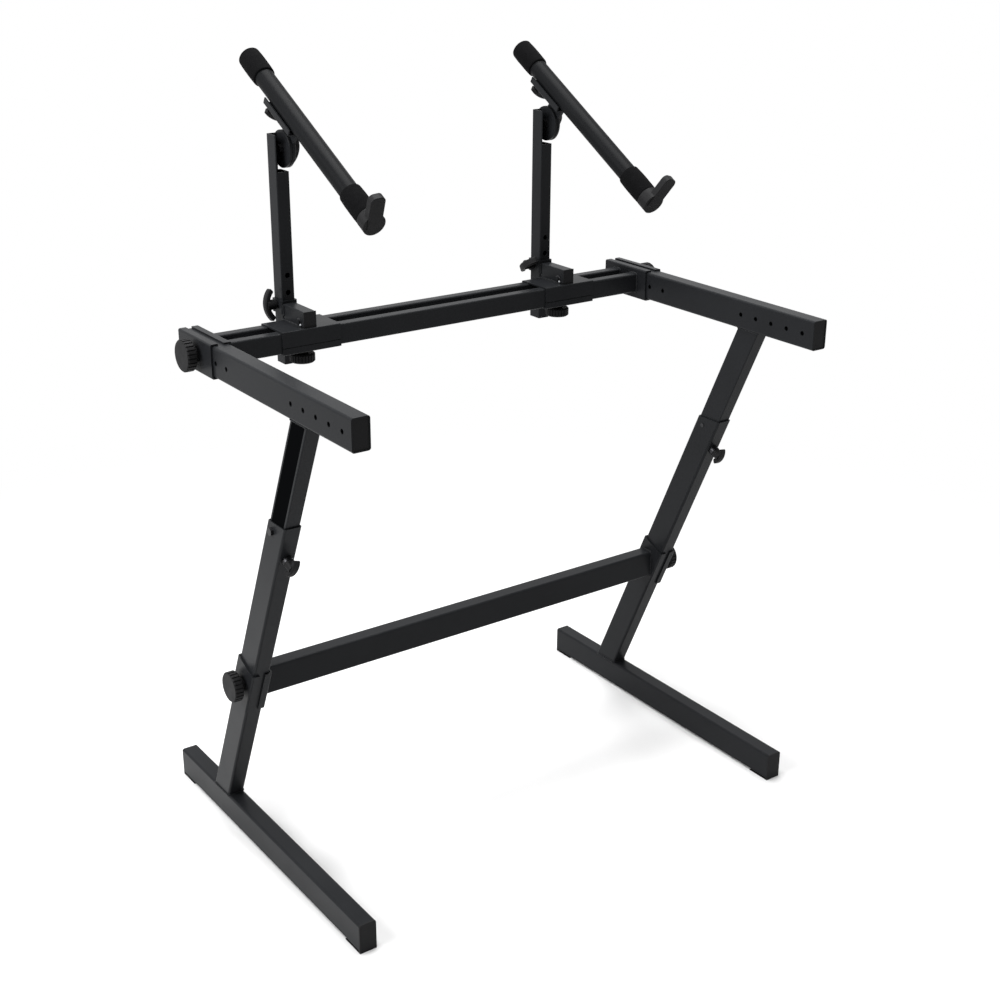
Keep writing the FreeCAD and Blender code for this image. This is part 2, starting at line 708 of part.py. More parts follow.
def lower_leg(side, frame):
    """The sleeve: a leaning tube drilled for the crossbar stud, the height screw and the side screws."""
    leg = leaning_tube(side + "_sleeve", "tube_width", "tube_height", "tube_wall", "tube_corner",
                       "sleeve_top - foot_top")
    holes = new_sketch(leg, "YZ_Plane")
    circle(holes, "crossbar_y - leg_setback", "crossbar_level - foot_top", "clamp_stud / 2 + hole_gap")
    circle(holes, "side_screw_y - leg_setback", "side_screw_level - foot_top", "side_screw / 2")
    cut_through(leg, holes)
    place(leg, frame, "leg_setback", "foot_top")
    drill = rod(side + "_lock_drill", "wing_stud / 2 + hole_gap", "tube_height / 2 + tube_wall")
    place(drill, frame, "lock_y", "lock_level", X_AXIS, "90 + leg_lean")
    return node(remove(side + "_lower_leg_piece", leg, drill), side + "_lower_leg")


def height_lock(side, frame):
    """The nut welded to the sleeve's front face, and its small wing knob."""
    shell = rod(side + "_lock_shell", "lock_nut_diameter / 2", "lock_nut_length")
    thread = rod(side + "_lock_thread", "wing_bore", "lock_nut_length")
    nut = remove(side + "_lock_nut", shell, thread)
    out_y = "lock_y - tube_height / 2 * cos(leg_lean)"
    out_z = "lock_level - tube_height / 2 * sin(leg_lean)"
    place(nut, frame, out_y, out_z, X_AXIS, "90 + leg_lean")
    head = wing_head(side + "_lock_wing", "lock_span", "lock_height", "lock_curve", side + "_lock_turn")
    reach = "lock_nut_length + knob_gap + tube_wall + sleeve_clearance - tip_gap"
    screw = place(rod(side + "_lock_screw", "wing_stud / 2", reach), z="-(%s)" % reach)
    stand_off = "(tube_height / 2 + lock_nut_length + knob_gap)"
    knob = group(side + "_lock_knob", [head, screw])
    place(knob, frame, "lock_y - %s * cos(leg_lean)" % stand_off,
          "lock_level - %s * sin(leg_lean)" % stand_off, X_AXIS, "90 + leg_lean")
    node(knob, side + "_height_knob")
    return nut


def sleeve_screws(side, sign):
    """A hex screw in the sleeve's outer wall and a screw tip in its inner wall."""
    outward = "90" if side == "right" else "-90"
    inward = "-90" if side == "right" else "90"
    head = doc.addObject("Part::Prism", side + "_screw_hex")
    head.Polygon = 6
    bind(head, "Circumradius", "side_head_width / 2")
    bind(head, "Height", "side_head_height")
    shank = place(rod(side + "_screw_shank", "side_screw / 2", "tube_wall"), z="-tube_wall")
    screw = join(side + "_screw", [head, shank])
    place(screw, sign + " * (frame_x + tube_width / 2)", "side_screw_y", "side_screw_level", Y_AXIS, outward)
    tip = rod(side + "_screw_tip", "side_screw / 2", "tube_wall + side_tip_height")
    inner_face = sign + " * (frame_x - tube_width / 2 + tube_wall)"
    place(tip, inner_face, "side_screw_y", "side_screw_level", Y_AXIS, inward)
    return [screw, tip]


def build_upper_frame():
    """Upper legs, support arms, twin rails and the saddles that hold them."""
    caps = []
    inner_saddles = []
    outer_saddles = []
    for side, sign in SIDES:
        frame = sign + " * frame_x"
        leg = leaning_tube(side + "_upper_leg", "upper_width", "upper_depth", "tube_wall", "tube_wall",
                           "arm_underside - upper_leg_foot")
        node(place(leg, frame, "upper_leg_y", "upper_leg_foot"), side + "_upper_leg")
        support_arm(side, frame)
        ends = (("front", "cap_recess - arm_reach"), ("rear", "arm_tail - cap_recess - cap_depth"))
        for end, spot in ends:
            width = "tube_width - 2 * tube_wall - 2 * cap_clearance"
            height = "tube_height - 2 * tube_wall - 2 * cap_clearance"
            caps.append(block(side + "_arm_" + end + "_cap", frame + " - (%s) / 2" % width, spot,
                              "arm_underside + tube_wall + cap_clearance", width, "cap_depth", height))
        inward = "1" if side == "left" else "-1"
        sorts = (("inner", inward, inner_saddles, True), ("outer", sign, outer_saddles, False))
        for sort, way, shelf, nut in sorts:
            piece = saddle(side + "_" + sort + "_rail_saddle", way, "rail_saddle_length", nut)
            shelf.append(place(piece, frame, "rail_centre", "arm_level", X_AXIS, "-90"))
        quarter_turn = "-90" if side == "left" else "90"
        clamp_knob(side + "_rail_clamp", side + "_rail_knob", "clamp", "clamp_reach",
                   sign + " * clamp_face", "rail_centre", "arm_level", Y_AXIS, quarter_turn)
    node(group("arm_caps", caps), "arm_end_caps")
    node(group("inner_rail_saddles", inner_saddles), "rail_inner_saddles")
    node(group("outer_rail_saddles", outer_saddles), "rail_outer_saddles")
    for name, way in (("front", "-1"), ("rear", "1")):
        rail = tube(name + "_rail", "rail_height", "rail_depth", "rail_wall", "rail_corner", "bar_span")
        place(rail, "-bar_span / 2", "rail_centre + %s * (rail_spread - rail_depth) / 2" % way, "rail_level",
              Y_AXIS, "90")
        node(rail, name + "_rail")


def support_arm(side, frame):
    """A level arm with a row of holes in front, a pair behind and the bore for the rail stud."""
    arm = tube(side + "_support", "tube_width", "tube_height", "tube_wall", "tube_corner",
               "arm_reach + arm_tail")
    first = new_sketch(arm, "YZ_Plane")
    circle(first, "0", "arm_hole_inset", "arm_hole / 2")
    row(arm, cut_through(arm, first), "Z_Axis", "arm_hole_pitch", "arm_hole_count")
    rest = new_sketch(arm, "YZ_Plane")
    circle(rest, "0", "tail_hole_inset", "arm_hole / 2")
    circle(rest, "0", "tail_hole_inset - arm_hole_pitch", "arm_hole / 2")
    circle(rest, "0", "arm_reach + rail_centre", "clamp_stud / 2 + hole_gap")
    cut_through(arm, rest)
    place(arm, frame, "-arm_reach", "arm_level", X_AXIS, "-90")
    return node(arm, side + "_support_arm")


# Carriages on the rails

def folded_plate(name, profile_corners, bends, hole_radius):
    """A plate folded along X over the rails, with the clamp hole in its middle."""
    body = new_body(name)
    profile = new_sketch(body, "YZ_Plane")
    outline(profile, profile_corners)
    fold = pad(body, profile, "carriage_length", symmetric=True)
    spots = [(value(y), value(z)) for y, z in bends]

    def bend(middle, along):
        return abs(along.x) > 0.99 and any(abs(middle.y - y) + abs(middle.z - z) < 0.02 for y, z in spots)

    body.Tip = round_edges(body, fold, "channel_plate", bend)
    hole = new_sketch(body, "XY_Plane")
    circle(hole, "0", "rail_centre", hole_radius)
    cut_through(body, hole)
    return body


def build_carriage(side, sign):
    """One carriage: channel over the rails, clamp plate under them, block, socket and knobs."""
    middle = sign + " * " + side + "_carriage_offset"
    front_in = "rail_centre - channel_half"
    front_out = "rail_centre - channel_half - channel_plate"
    back_in = "rail_centre + channel_half"
    back_out = "channel_back"
    screw_hole = "under_stud / 2 + hole_gap"
    edge = "lip_top + lip_gap"
    channel = folded_plate(side + "_channel", (
        (front_out, edge), (front_in, edge), (front_in, "channel_top - channel_plate"),
        (back_in, "channel_top - channel_plate"), (back_in, edge), (back_out, edge),
        (back_out, "channel_top"), (front_out, "channel_top"),
    ), ((front_out, "channel_top"), (back_out, "channel_top")), screw_hole)
    node(place(channel, middle), side + "_carriage_channel")
    plate = folded_plate(side + "_plate", (
        (front_out, "plate_bottom"), (back_out, "plate_bottom"), (back_out, "lip_top"), (back_in, "lip_top"),
        (back_in, "plate_bottom + channel_plate"), (front_in, "plate_bottom + channel_plate"),
        (front_in, "lip_top"), (front_out, "lip_top"),
    ), ((front_out, "plate_bottom"), (back_out, "plate_bottom")), screw_hole)
    node(place(plate, middle), side + "_clamp_plate")
    carriage_block(side, middle)
    post_socket(side, middle)
    clamp_knob(side + "_under_clamp", side + "_carriage_knob", "under", "under_reach",
               middle, "rail_centre", "plate_bottom - knob_gap", X_AXIS, "180")


def carriage_block(side, middle):
    """The square tube on top of the channel, with a weld nut inside, and its end plug."""
    body = tube(side + "_block", "block_width", "block_height", "block_wall", "block_corner",
                "channel_back - block_front")
    floor = "block_height / 2 - block_wall"
    nut = new_sketch(body, "XZ_Plane", "-(%s)" % floor)
    hexagon(nut, "0", "rail_centre - block_front", "block_nut_width")
    body.Tip = pad(body, nut, "block_nut_height")
    hole = new_sketch(body, "XZ_Plane")
    circle(hole, "0", "rail_centre - block_front", "under_stud / 2 + thread_gap")
    cut_through(body, hole, both_ways=False)
    place(body, middle, "block_front", "channel_top + block_height / 2", X_AXIS, "-90")
    screw = doc.addObject("Part::Prism", side + "_block_screw")
    screw.Polygon = 6
    bind(screw, "Circumradius", "block_screw_width / 2")
    bind(screw, "Height", "block_screw_height")
    place(screw, middle + " - block_width / 2", "block_front + block_screw_inset",
          "channel_top + block_screw_width", Y_AXIS, "-90")
    node(join(side + "_block_piece", [body, screw]), side + "_carriage_block")
    width = "block_width - 2 * block_wall - 2 * cap_clearance"
    height = "block_height - 2 * block_wall - 2 * cap_clearance"
    plug = block(side + "_block_plug", middle + " - (%s) / 2" % width, "block_front",
                 "channel_top + block_wall + cap_clearance", width, "block_cap_depth", height)
    face = block(side + "_block_face", middle + " - block_width / 2", "block_front - block_cap_face",
                 "channel_top", "block_width", "block_cap_face", "block_height")
    node(join(side + "_plug_piece", [plug, face]), side + "_block_cap")


def post_socket(side, middle):
    """The short sleeve around the post behind the block, with a nut on its left face, and the post knob."""
    body = tube(side + "_socket", "socket_width", "socket_depth", "socket_wall", "socket_corner",
                "socket_height")
    level = "post_knob_level - socket_top + socket_height"
    boss = new_sketch(body, "YZ_Plane", "-socket_width / 2")
    hexagon(boss, "post_knob_back", level, "socket_boss_width")
    body.Tip = pad(body, boss, "socket_boss_height", backwards=True)
    hole = new_sketch(body, "YZ_Plane")
    circle(hole, "post_knob_back", level, "wing_bore")
    cut_through(body, hole, both_ways=False)
    node(place(body, middle, "socket_y", "socket_top - socket_height"), side + "_post_socket")
    head = wing_head(side + "_post_wing", "wing_span", "wing_height", "wing_curve", side + "_post_turn")
    reach = "knob_gap + socket_boss_height + socket_margin - tip_gap"
    screw = place(rod(side + "_post_screw", "wing_stud / 2", reach), z="-(%s)" % reach)
    knob = group(side + "_post_lock", [head, screw])
    place(knob, middle + " - socket_width / 2 - socket_boss_height - knob_gap", "socket_y + post_knob_back",
          "post_knob_level", Y_AXIS, "-90")
    node(knob, side + "_post_knob")


# Posts and tilt joints

def on_disc_rim(spot, along):
    """Whether an edge runs round the outside of a tilt disc."""
    return (spot.y ** 2 + spot.z ** 2) ** 0.5 > value("disc_diameter / 2") - 1


def build_post(side, sign):
    """The post with its notched top, the friction disc on it and the tilt bolt with its knob."""
    middle = sign + " * " + side + "_carriage_offset"
    post = tube(side + "_mast", "post_width", "post_depth", "post_wall", "post_corner",
                "post_top - post_foot")
    notch = new_sketch(post, "XZ_Plane")
    notch_floor = "post_top - post_foot - notch_depth"
    outline(notch, (
        ("disc_inset", notch_floor),
        ("post_width", notch_floor),
        ("post_width", "post_top - post_foot + post_wall"),
        ("disc_inset", "post_top - post_foot + post_wall"),
    ))
    cut_through(post, notch)
    front = new_sketch(post, "XY_Plane", "post_top - post_foot")
    outline(front, (
        ("post_wall - post_width / 2", "-post_depth"),
        ("post_width", "-post_depth"),
        ("post_width", "post_wall - post_depth / 2"),
        ("post_wall - post_width / 2", "post_wall - post_depth / 2"),
    ))
    mouth = post.newObject("PartDesign::Pocket", side + "_mast_mouth")
    mouth.Profile = front
    bind(mouth, "Length", "notch_depth")
    post.Tip = mouth
    hole = new_sketch(post, "XZ_Plane")
    circle(hole, "0", "post_hole_top - post_foot", "post_hole / 2")
    top_hole = cut_through(post, hole, both_ways=False, backwards=True)
    row(post, top_hole, "Z_Axis", "post_hole_pitch", "post_hole_count", backwards=True)
    node(place(post, middle, "socket_y", "post_foot"), side + "_post")
    disc = new_body(side + "_friction_disc")
    face = new_sketch(disc, "YZ_Plane")
    circle(face, "0", "0", "disc_diameter / 2")
    circle(face, "0", "0", "wing_stud / 2")
    plate = pad(disc, face, "disc_thickness")
    disc.Tip = bevel_edges(disc, plate, "disc_edge", on_disc_rim)
    node(place(disc, middle + " + disc_inset", "socket_y", "pivot_level"), side + "_tilt_disc")
    head = doc.addObject("Part::Prism", side + "_tilt_hex")
    head.Polygon = 6
    bind(head, "Circumradius", "tilt_bolt_width / 2")
    bind(head, "Height", "tilt_bolt_head")
    place(head, z="-tilt_bolt_head")
    shank = rod(side + "_tilt_shank", "wing_stud / 2",
                "2 * disc_thickness + disc_gap + knob_gap + bolt_reach")
    bolt = join(side + "_tilt_screw", [head, shank])
    node(place(bolt, middle + " + disc_inset", "socket_y", "pivot_level", Y_AXIS, "90"), side + "_tilt_bolt")
    wing = wing_head(side + "_tilt_wing", "wing_span", "wing_height", "wing_curve", side + "_tilt_turn",
                     "bolt_reach + tip_gap")
    knob = group(side + "_tilt_lock", [wing])
    node(place(knob, middle + " + tilt_face", "socket_y", "pivot_level", Y_AXIS, "90"), side + "_tilt_knob")


# Upper arms, drawn about the tilt axis with the arm level and then tilted

def tilted(item, side, sign, x="0", y="0", z="0", turn="0"):
    """Places an item given in the level arm's frame: its origin on the tilt axis, Y along the tube."""
    angle = side + "_tilt_angle"
    middle = sign + " * " + side + "_carriage_offset"
    across = "(%s) * cos(%s) - (%s) * sin(%s)" % (y, angle, z, angle)
    upward = "(%s) * sin(%s) + (%s) * cos(%s)" % (y, angle, z, angle)
    return place(item, "%s + %s" % (middle, x), "socket_y + " + across, "pivot_level + " + upward,
                 X_AXIS, "%s + %s" % (angle, turn))


def build_bracket(side, sign):
    """The tilting bracket: second friction disc, neck plate and the channel that cradles the arm."""
    body = new_body(side + "_bracket")
    face = new_sketch(body, "YZ_Plane", "outer_disc")
    circle(face, "0", "0", "disc_diameter / 2")
    plate = pad(body, face, "disc_thickness")
    bevel_edges(body, plate, "disc_edge", on_disc_rim)
    neck = new_sketch(body, "YZ_Plane", "outer_disc")
    outline(neck, (
        ("-neck_width / 2", "0"),
        ("neck_width / 2", "0"),
        ("neck_width / 2", "cradle_bottom + cradle_plate / 2"),
        ("-neck_front", "cradle_bottom + cradle_plate / 2"),
    ))
    pad(body, neck, "disc_thickness")
    cradle = new_sketch(body, "XZ_Plane", "-cradle_back")
    left_in = "arm_x - cradle_half"
    left_out = "arm_x - cradle_half - cradle_plate"
    right_in = "arm_x + cradle_half"
    right_out = "arm_x + cradle_half + cradle_plate"
    brim = "cradle_top + cradle_flange"
    outline(cradle, (
        (left_out, "cradle_bottom"), (right_out, "cradle_bottom"), (right_out, brim), (right_in, brim),
        (right_in, "cradle_top"), (left_in, "cradle_top"), (left_in, brim), (left_out, brim),
    ))
    body.Tip = pad(body, cradle, "cradle_front + cradle_back")
    low = value("cradle_bottom")
    fold_x = (value(left_out), value(right_out))

    def bend(spot, along):
        on_fold = min(abs(spot.x - fold_x[0]), abs(spot.x - fold_x[1])) < 0.01
        return on_fold and abs(spot.z - low) < 0.01 and abs(along.y) > 0.99

    body.Tip = round_edges(body, body.Tip, "cradle_plate", bend)
    bore = new_sketch(body, "YZ_Plane")
    circle(bore, "0", "0", "wing_bore")
    cut_through(body, bore)
    hole = new_sketch(body, "XY_Plane")
    circle(hole, "arm_x", "clamp_setback", "wing_stud / 2 + hole_gap")
    cut_through(body, hole)
    node(tilted(body, side, sign), side + "_tilt_bracket")


def build_arm(side, sign):
    """One upper arm: bracket, clamp, slotted tube, foam sleeves and end lip."""
    tail = side + "_arm_tail"
    build_bracket(side, sign)
    head = doc.addObject("Part::Prism", side + "_clamp_hex")
    head.Polygon = 6
    bind(head, "Circumradius", "clamp_head_width / 2")
    bind(head, "Height", "clamp_head_height")
    place(head, z="-clamp_head_height")
    shank = rod(side + "_clamp_shank", "wing_stud / 2", "clamp_head_foot - arm_knob_face + bolt_reach")
    bolt = join(side + "_clamp_screw", [head, shank])
    node(tilted(bolt, side, sign, "arm_x", "clamp_setback", "clamp_head_foot", "180"), side + "_clamp_bolt")
    wing = wing_head(side + "_arm_wing", "grip_span", "grip_height", "grip_curve", side + "_arm_turn",
                     "bolt_reach + tip_gap")
    knob = group(side + "_arm_lock", [wing])
    node(tilted(knob, side, sign, "arm_x", "clamp_setback", "arm_knob_face", "180"), side + "_arm_knob")
    tube_length = "arm_length - foam_end"
    shell = rod(side + "_arm_shell", "arm_diameter / 2", tube_length)
    bore = rod(side + "_arm_bore", "arm_diameter / 2 - arm_wall", tube_length)
    slot = block(side + "_arm_slot", "-slot_width / 2", "0", "arm_length - slot_end",
                 "slot_width", "arm_diameter", "slot_end - slot_start")
    hollow = remove(side + "_arm_hollow", shell, bore)
    slotted = remove(side + "_arm_slotted", hollow, slot)
    front_end = tail + " - arm_length"
    node(tilted(slotted, side, sign, "arm_x", front_end, "arm_rise", "-90"), side + "_arm_tube")
    front_foam = foam_sleeve(side + "_front_foam", "foam_length", False)
    rear_foam = foam_sleeve(side + "_rear_foam", "foam_length", True)
    place(rear_foam, z="arm_length - foam_length")
    grips = group(side + "_foam", [front_foam, rear_foam])
    node(tilted(grips, side, sign, "arm_x", front_end, "arm_rise", "-90"), side + "_foam_grips")
    lip = group(side + "_lip", [lip_body(side)])
    node(tilted(lip, side, sign, "arm_x", front_end, "arm_rise", "90"), side + "_end_lip")


def foam_sleeve(name, length, closed):
    """A foam sleeve over the tube, closed at the tube's rear end."""
    outer = rod(name + "_outer", "foam_diameter / 2", length)
    inner = rod(name + "_inner", "arm_diameter / 2", length + (" - foam_end" if closed else ""))
    return remove(name, outer, inner)


def lip_body(side):
    """The moulded end lip: round base, plug in the tube and a stop tab that stands above the arm."""
    body = new_body(side + "_lip_body")
    base = new_sketch(body, "XY_Plane")
    circle(base, "0", "0", "lip_diameter / 2")
    pad(body, base, "lip_base")
    tab = new_sketch(body, "XY_Plane", "lip_tab_back")
    outline(tab, (
        ("-lip_tab_width / 2", "-lip_tab_width / 4"),
        ("lip_tab_width / 2", "-lip_tab_width / 4"),
        ("lip_tab_width / 2", "lip_tab_reach"),
        ("-lip_tab_width / 2", "lip_tab_reach"),
    ))
    stop = pad(body, tab, "lip_depth - lip_tab_back")
    reach = value("lip_tab_reach")
    half = value("lip_tab_width / 2")
    front = value("lip_depth")

    def tab_corner(spot, along):
        return abs(along.z) > 0.99 and abs(spot.y - reach) < 0.01 and abs(abs(spot.x) - half) < 0.01

    rounded = round_edges(body, stop, "lip_corner", tab_corner)
    bevel_edges(body, rounded, "lip_edge", lambda spot, along: abs(spot.z - front) < 0.01)
    plug = new_sketch(body, "XY_Plane")
    circle(plug, "0", "0", "arm_diameter / 2 - arm_wall - lip_clearance")
    body.Tip = pad(body, plug, "lip_plug", backwards=True)
    return place(body, axis=Z_AXIS, angle=side + "_lip_turn")


def check_and_write():
    """Stops on any broken piece, then writes each piece to its own file."""
    doc.recompute()
    for item in doc.Objects:
        if "Invalid" in item.State or "Error" in item.State:
            raise RuntimeError("%s is %s" % (item.Label, item.State))
    for item in nodes:
        if item.Shape.isNull() or not item.Shape.isValid():
            raise RuntimeError("%s has no valid shape" % item.Label)
    os.makedirs("parts", exist_ok=True)
    for item in nodes:
        item.Shape.exportStep("parts/%s.step" % item.Label)


build_side_frames()
build_upper_frame()
for side_name, side_sign in SIDES:
    build_carriage(side_name, side_sign)
    build_post(side_name, side_sign)
    build_arm(side_name, side_sign)
check_and_write()
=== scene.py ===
import json
import math

import bmesh
import bpy
from bpy.props import FloatProperty, FloatVectorProperty, IntProperty, PointerProperty
from mathutils import Matrix, Vector, noise


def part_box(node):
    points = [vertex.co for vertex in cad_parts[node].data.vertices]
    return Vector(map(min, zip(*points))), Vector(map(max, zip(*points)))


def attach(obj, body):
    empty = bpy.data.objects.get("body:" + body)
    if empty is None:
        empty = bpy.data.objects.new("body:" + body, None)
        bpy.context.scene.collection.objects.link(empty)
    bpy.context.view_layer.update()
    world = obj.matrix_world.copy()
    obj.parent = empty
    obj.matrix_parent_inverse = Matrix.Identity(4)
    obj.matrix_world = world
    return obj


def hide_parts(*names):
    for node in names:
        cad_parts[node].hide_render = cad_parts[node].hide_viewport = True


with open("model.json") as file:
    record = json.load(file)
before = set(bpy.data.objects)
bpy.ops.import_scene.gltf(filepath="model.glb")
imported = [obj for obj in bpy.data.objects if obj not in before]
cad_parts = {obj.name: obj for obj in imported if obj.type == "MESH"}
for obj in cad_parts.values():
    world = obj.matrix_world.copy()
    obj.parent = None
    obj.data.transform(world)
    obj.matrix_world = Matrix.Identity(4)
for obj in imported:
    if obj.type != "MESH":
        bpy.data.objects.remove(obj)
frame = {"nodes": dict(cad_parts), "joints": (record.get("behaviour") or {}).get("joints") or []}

bl_info = {
    "name": "Two-tier keyboard stand",
    "version": (1, 0, 0),
    "blender": (4, 5, 0),
    "location": "3D View > Sidebar > Stand",
    "description": "Finishes, foam grips, weld beads, screws and a studio for a two-tier keyboard stand",
    "category": "Object",
}

MM = 0.001
SIDES = ("left", "right")
JOINTS = {joint["name"]: joint for joint in frame["joints"]}
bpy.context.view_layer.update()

# Pieces by finish: the last word of a plastic node's name, and the nodes that differ from the tubes
PLASTIC_WORDS = ("knob", "cap", "caps", "lip")
SCREW_NODES = ("leg_side_bolts", "height_nuts", "left_tilt_bolt", "right_tilt_bolt", "left_clamp_bolt",
               "right_clamp_bolt")
ARM_NODES = ("left_arm_tube", "right_arm_tube")


def linear(hex_colour):
    """An sRGB hex value as linear red, green and blue."""
    channels = [int(hex_colour[start:start + 2], 16) / 255 for start in (1, 3, 5)]
    return tuple(c / 12.92 if c <= 0.04045 else ((c + 0.055) / 1.055) ** 2.4 for c in channels)


class StandSizes(bpy.types.PropertyGroup):
    """Sizes of the dressed pieces that a user may change."""
    foam_diameter: FloatProperty(
        name="Foam diameter", description="Outside of a foam sleeve at its ends",
        default=37.4 * MM, unit="LENGTH")
    foam_swell: FloatProperty(
        name="Foam swell", description="How far a sleeve stands out in its middle",
        default=0.5 * MM, unit="LENGTH")
    foam_length: FloatProperty(
        name="Foam length", description="Length of a foam sleeve",
        default=57 * MM, unit="LENGTH")
    foam_rounding: FloatProperty(
        name="Foam rounding", description="Rounded edge of a foam sleeve",
        default=2.2 * MM, unit="LENGTH")
    bead_width: FloatProperty(
        name="Weld bead width", description="Width of a weld bead",
        default=4.6 * MM, unit="LENGTH")
    bead_pitch: FloatProperty(
        name="Weld ripple pitch", description="Distance from one ripple of a weld bead to the next",
        default=2.4 * MM, unit="LENGTH")
    bead_seed: IntProperty(
        name="Weld seed", description="Seed of the unevenness of the weld beads",
        default=7, min=0)


class StandColours(bpy.types.PropertyGroup):
    """Colours of the finishes."""
    steel: FloatVectorProperty(
        name="Powder coat", description="Satin black powder coat of the steel tubes",
        default=linear("#1d1e20"), subtype="COLOR", size=3, min=0, max=1)
    plastic: FloatVectorProperty(
        name="Moulded plastic", description="Knobs, plugs and end lips",
        default=linear("#1a1a1b"), subtype="COLOR", size=3, min=0, max=1)
    foam: FloatVectorProperty(
        name="Foam", description="Foam sleeves",
        default=linear("#09090a"), subtype="COLOR", size=3, min=0, max=1)
    screw: FloatVectorProperty(
        name="Blackened screw", description="Screws, nuts and bolts",
        default=linear("#3a3a3c"), subtype="COLOR", size=3, min=0, max=1)
    plating: FloatVectorProperty(
        name="Plated screw", description="Small zinc-plated screws of the carriages",
        default=linear("#858789"), subtype="COLOR", size=3, min=0, max=1)
    floor: FloatVectorProperty(
        name="Floor", description="Studio floor",
        default=linear("#e4e4e4"), subtype="COLOR", size=3, min=0, max=1)


class StandStudio(bpy.types.PropertyGroup):
    """Camera of the studio."""
    camera_place: FloatVectorProperty(
        name="Camera place", description="Where the camera stands",
        default=(-1.4155, -2.0176, 1.5334), subtype="TRANSLATION", unit="LENGTH", size=3)
    camera_turn: FloatProperty(
        name="Camera turn", description="Turn of the view to the right of straight ahead",
        default=math.radians(35.62), subtype="ANGLE")
    camera_dip: FloatProperty(
        name="Camera dip", description="Dip of the view below level",
        default=math.radians(21.67), subtype="ANGLE")
    camera_roll: FloatProperty(
        name="Camera roll", description="Roll of the view about its own line",
        default=math.radians(0.37), subtype="ANGLE")
    lens: FloatProperty(
        name="Lens", description="Focal length in millimetres on a 36 mm sensor",
        default=55.34, min=1)


class StandSettings(bpy.types.PropertyGroup):
    """All settings of the stand."""
    sizes: PointerProperty(type=StandSizes)
    colours: PointerProperty(type=StandColours)
    studio: PointerProperty(type=StandStudio)


def settings():
    return bpy.context.scene.keyboard_stand


def add_node(tree, kind, options=None, inputs=None):
    """Adds a node. An input is a plain value, or another node's output to link."""
    node = tree.nodes.new(kind)
    for name, option in (options or {}).items():
        setattr(node, name, option)
    for name, given in (inputs or {}).items():
        if isinstance(given, bpy.types.NodeSocket):
            tree.links.new(given, node.inputs[name])
        else:
            node.inputs[name].default_value = given
    return node


def new_material(name):
    """An empty material and its tree."""
    material = bpy.data.materials.new(name)
    material.use_nodes = True
    material.node_tree.nodes.clear()
    return material, material.node_tree


def opaque(colour):
    return (*colour, 1.0)


def shaded(colour, factor):
    return (*(channel * factor for channel in colour), 1.0)


# Sockets of the Mix node when it mixes colours
MIX_FACTOR, MIX_A, MIX_B, MIX_RESULT = 0, 6, 7, 2

WHITE = (1, 1, 1, 1)

# Most of a noise lies between these values
NOISE_LOW, NOISE_HIGH = 0.3, 0.7


def noise_pattern(tree, size, detail, roughness=0.5):
    """Noise in the piece's own coordinates, with features of a real size."""
    place = add_node(tree, "ShaderNodeTexCoord")
    cloud = add_node(tree, "ShaderNodeTexNoise", None, {
        "Vector": place.outputs["Object"], "Scale": 1 / size, "Detail": detail, "Roughness": roughness})
    return cloud.outputs["Fac"]


def cell_pattern(tree, size, feature):
    """Cells of a real size in the piece's own coordinates, as the distance from a cell's middle."""
    place = add_node(tree, "ShaderNodeTexCoord")
    cells = add_node(tree, "ShaderNodeTexVoronoi", {"feature": feature}, {
        "Vector": place.outputs["Object"], "Scale": 1 / size})
    return cells.outputs["Distance"]


def mix_colours(tree, factor, first, second):
    mix = add_node(tree, "ShaderNodeMix", {"data_type": "RGBA"}, {
        MIX_FACTOR: factor, MIX_A: first, MIX_B: second})
    return mix.outputs[MIX_RESULT]


def two_tone(tree, factor, colour, low, high):
    """The colour made darker and lighter by a pattern."""
    return mix_colours(tree, factor, shaded(colour, low), shaded(colour, high))


def spread(tree, factor, low, high):
    """Stretches the middle part of a noise over a range."""
    wide = add_node(tree, "ShaderNodeMapRange", None, {
        "Value": factor, "From Min": NOISE_LOW, "From Max": NOISE_HIGH, "To Min": low, "To Max": high})
    return wide.outputs["Result"]


def blend(tree, factor, low, high):
    """A number that goes from one value to another with a mask."""
    mixed = add_node(tree, "ShaderNodeMapRange", None, {"Value": factor, "To Min": low, "To Max": high})
    return mixed.outputs["Result"]


def smooth_step(tree, value, start, end):
    """Goes softly from zero to one between two values."""
    step = add_node(tree, "ShaderNodeMapRange", {"interpolation_type": "SMOOTHSTEP"}, {
        "Value": value, "From Min": start, "From Max": end})
    return step.outputs["Result"]


def calculate(tree, operation, *numbers):
    """One step of arithmetic on numbers or outputs."""
    return add_node(tree, "ShaderNodeMath", {"operation": operation}, dict(enumerate(numbers))).outputs[0]


def dot_product(tree, first, second):
    step = add_node(tree, "ShaderNodeVectorMath", {"operation": "DOT_PRODUCT"}, {0: first, 1: second})
    return step.outputs["Value"]


def add_share(tree, first, share, second):
    """A share of one pattern on top of another."""
    return calculate(tree, "MULTIPLY_ADD", first, share, second)


def relief(tree, height, strength, depth):
    bump = add_node(tree, "ShaderNodeBump", None, {
        "Height": height, "Strength": strength, "Distance": depth})
    return bump.outputs["Normal"]


def skin(tree, inputs):
    """Ends a material in one surface."""
    surface = add_node(tree, "ShaderNodeBsdfPrincipled", None, inputs)
    add_node(tree, "ShaderNodeOutputMaterial", None, {"Surface": surface.outputs["BSDF"]})


# Square to the leg, front to back
LOWER_LEG_DEPTH = 50 * MM
UPPER_LEG_DEPTH = 45 * MM

# Painted shade: a near-black band along the outer face of each upper leg, between two rims with the usual
# coat
LEG_PAINTED_SHADE_RIM = 5.4 * MM
LEG_PAINTED_SHADE_EDGE = 0.8 * MM
LEG_PAINTED_SHADE_TONE = 0.2
LEG_PAINTED_SHADE_GLOSS = 1.0

# A face looks outwards from the first of these cosines on, and fully from the second
FACING_FROM, FACING_FULLY = 0.9, 0.95


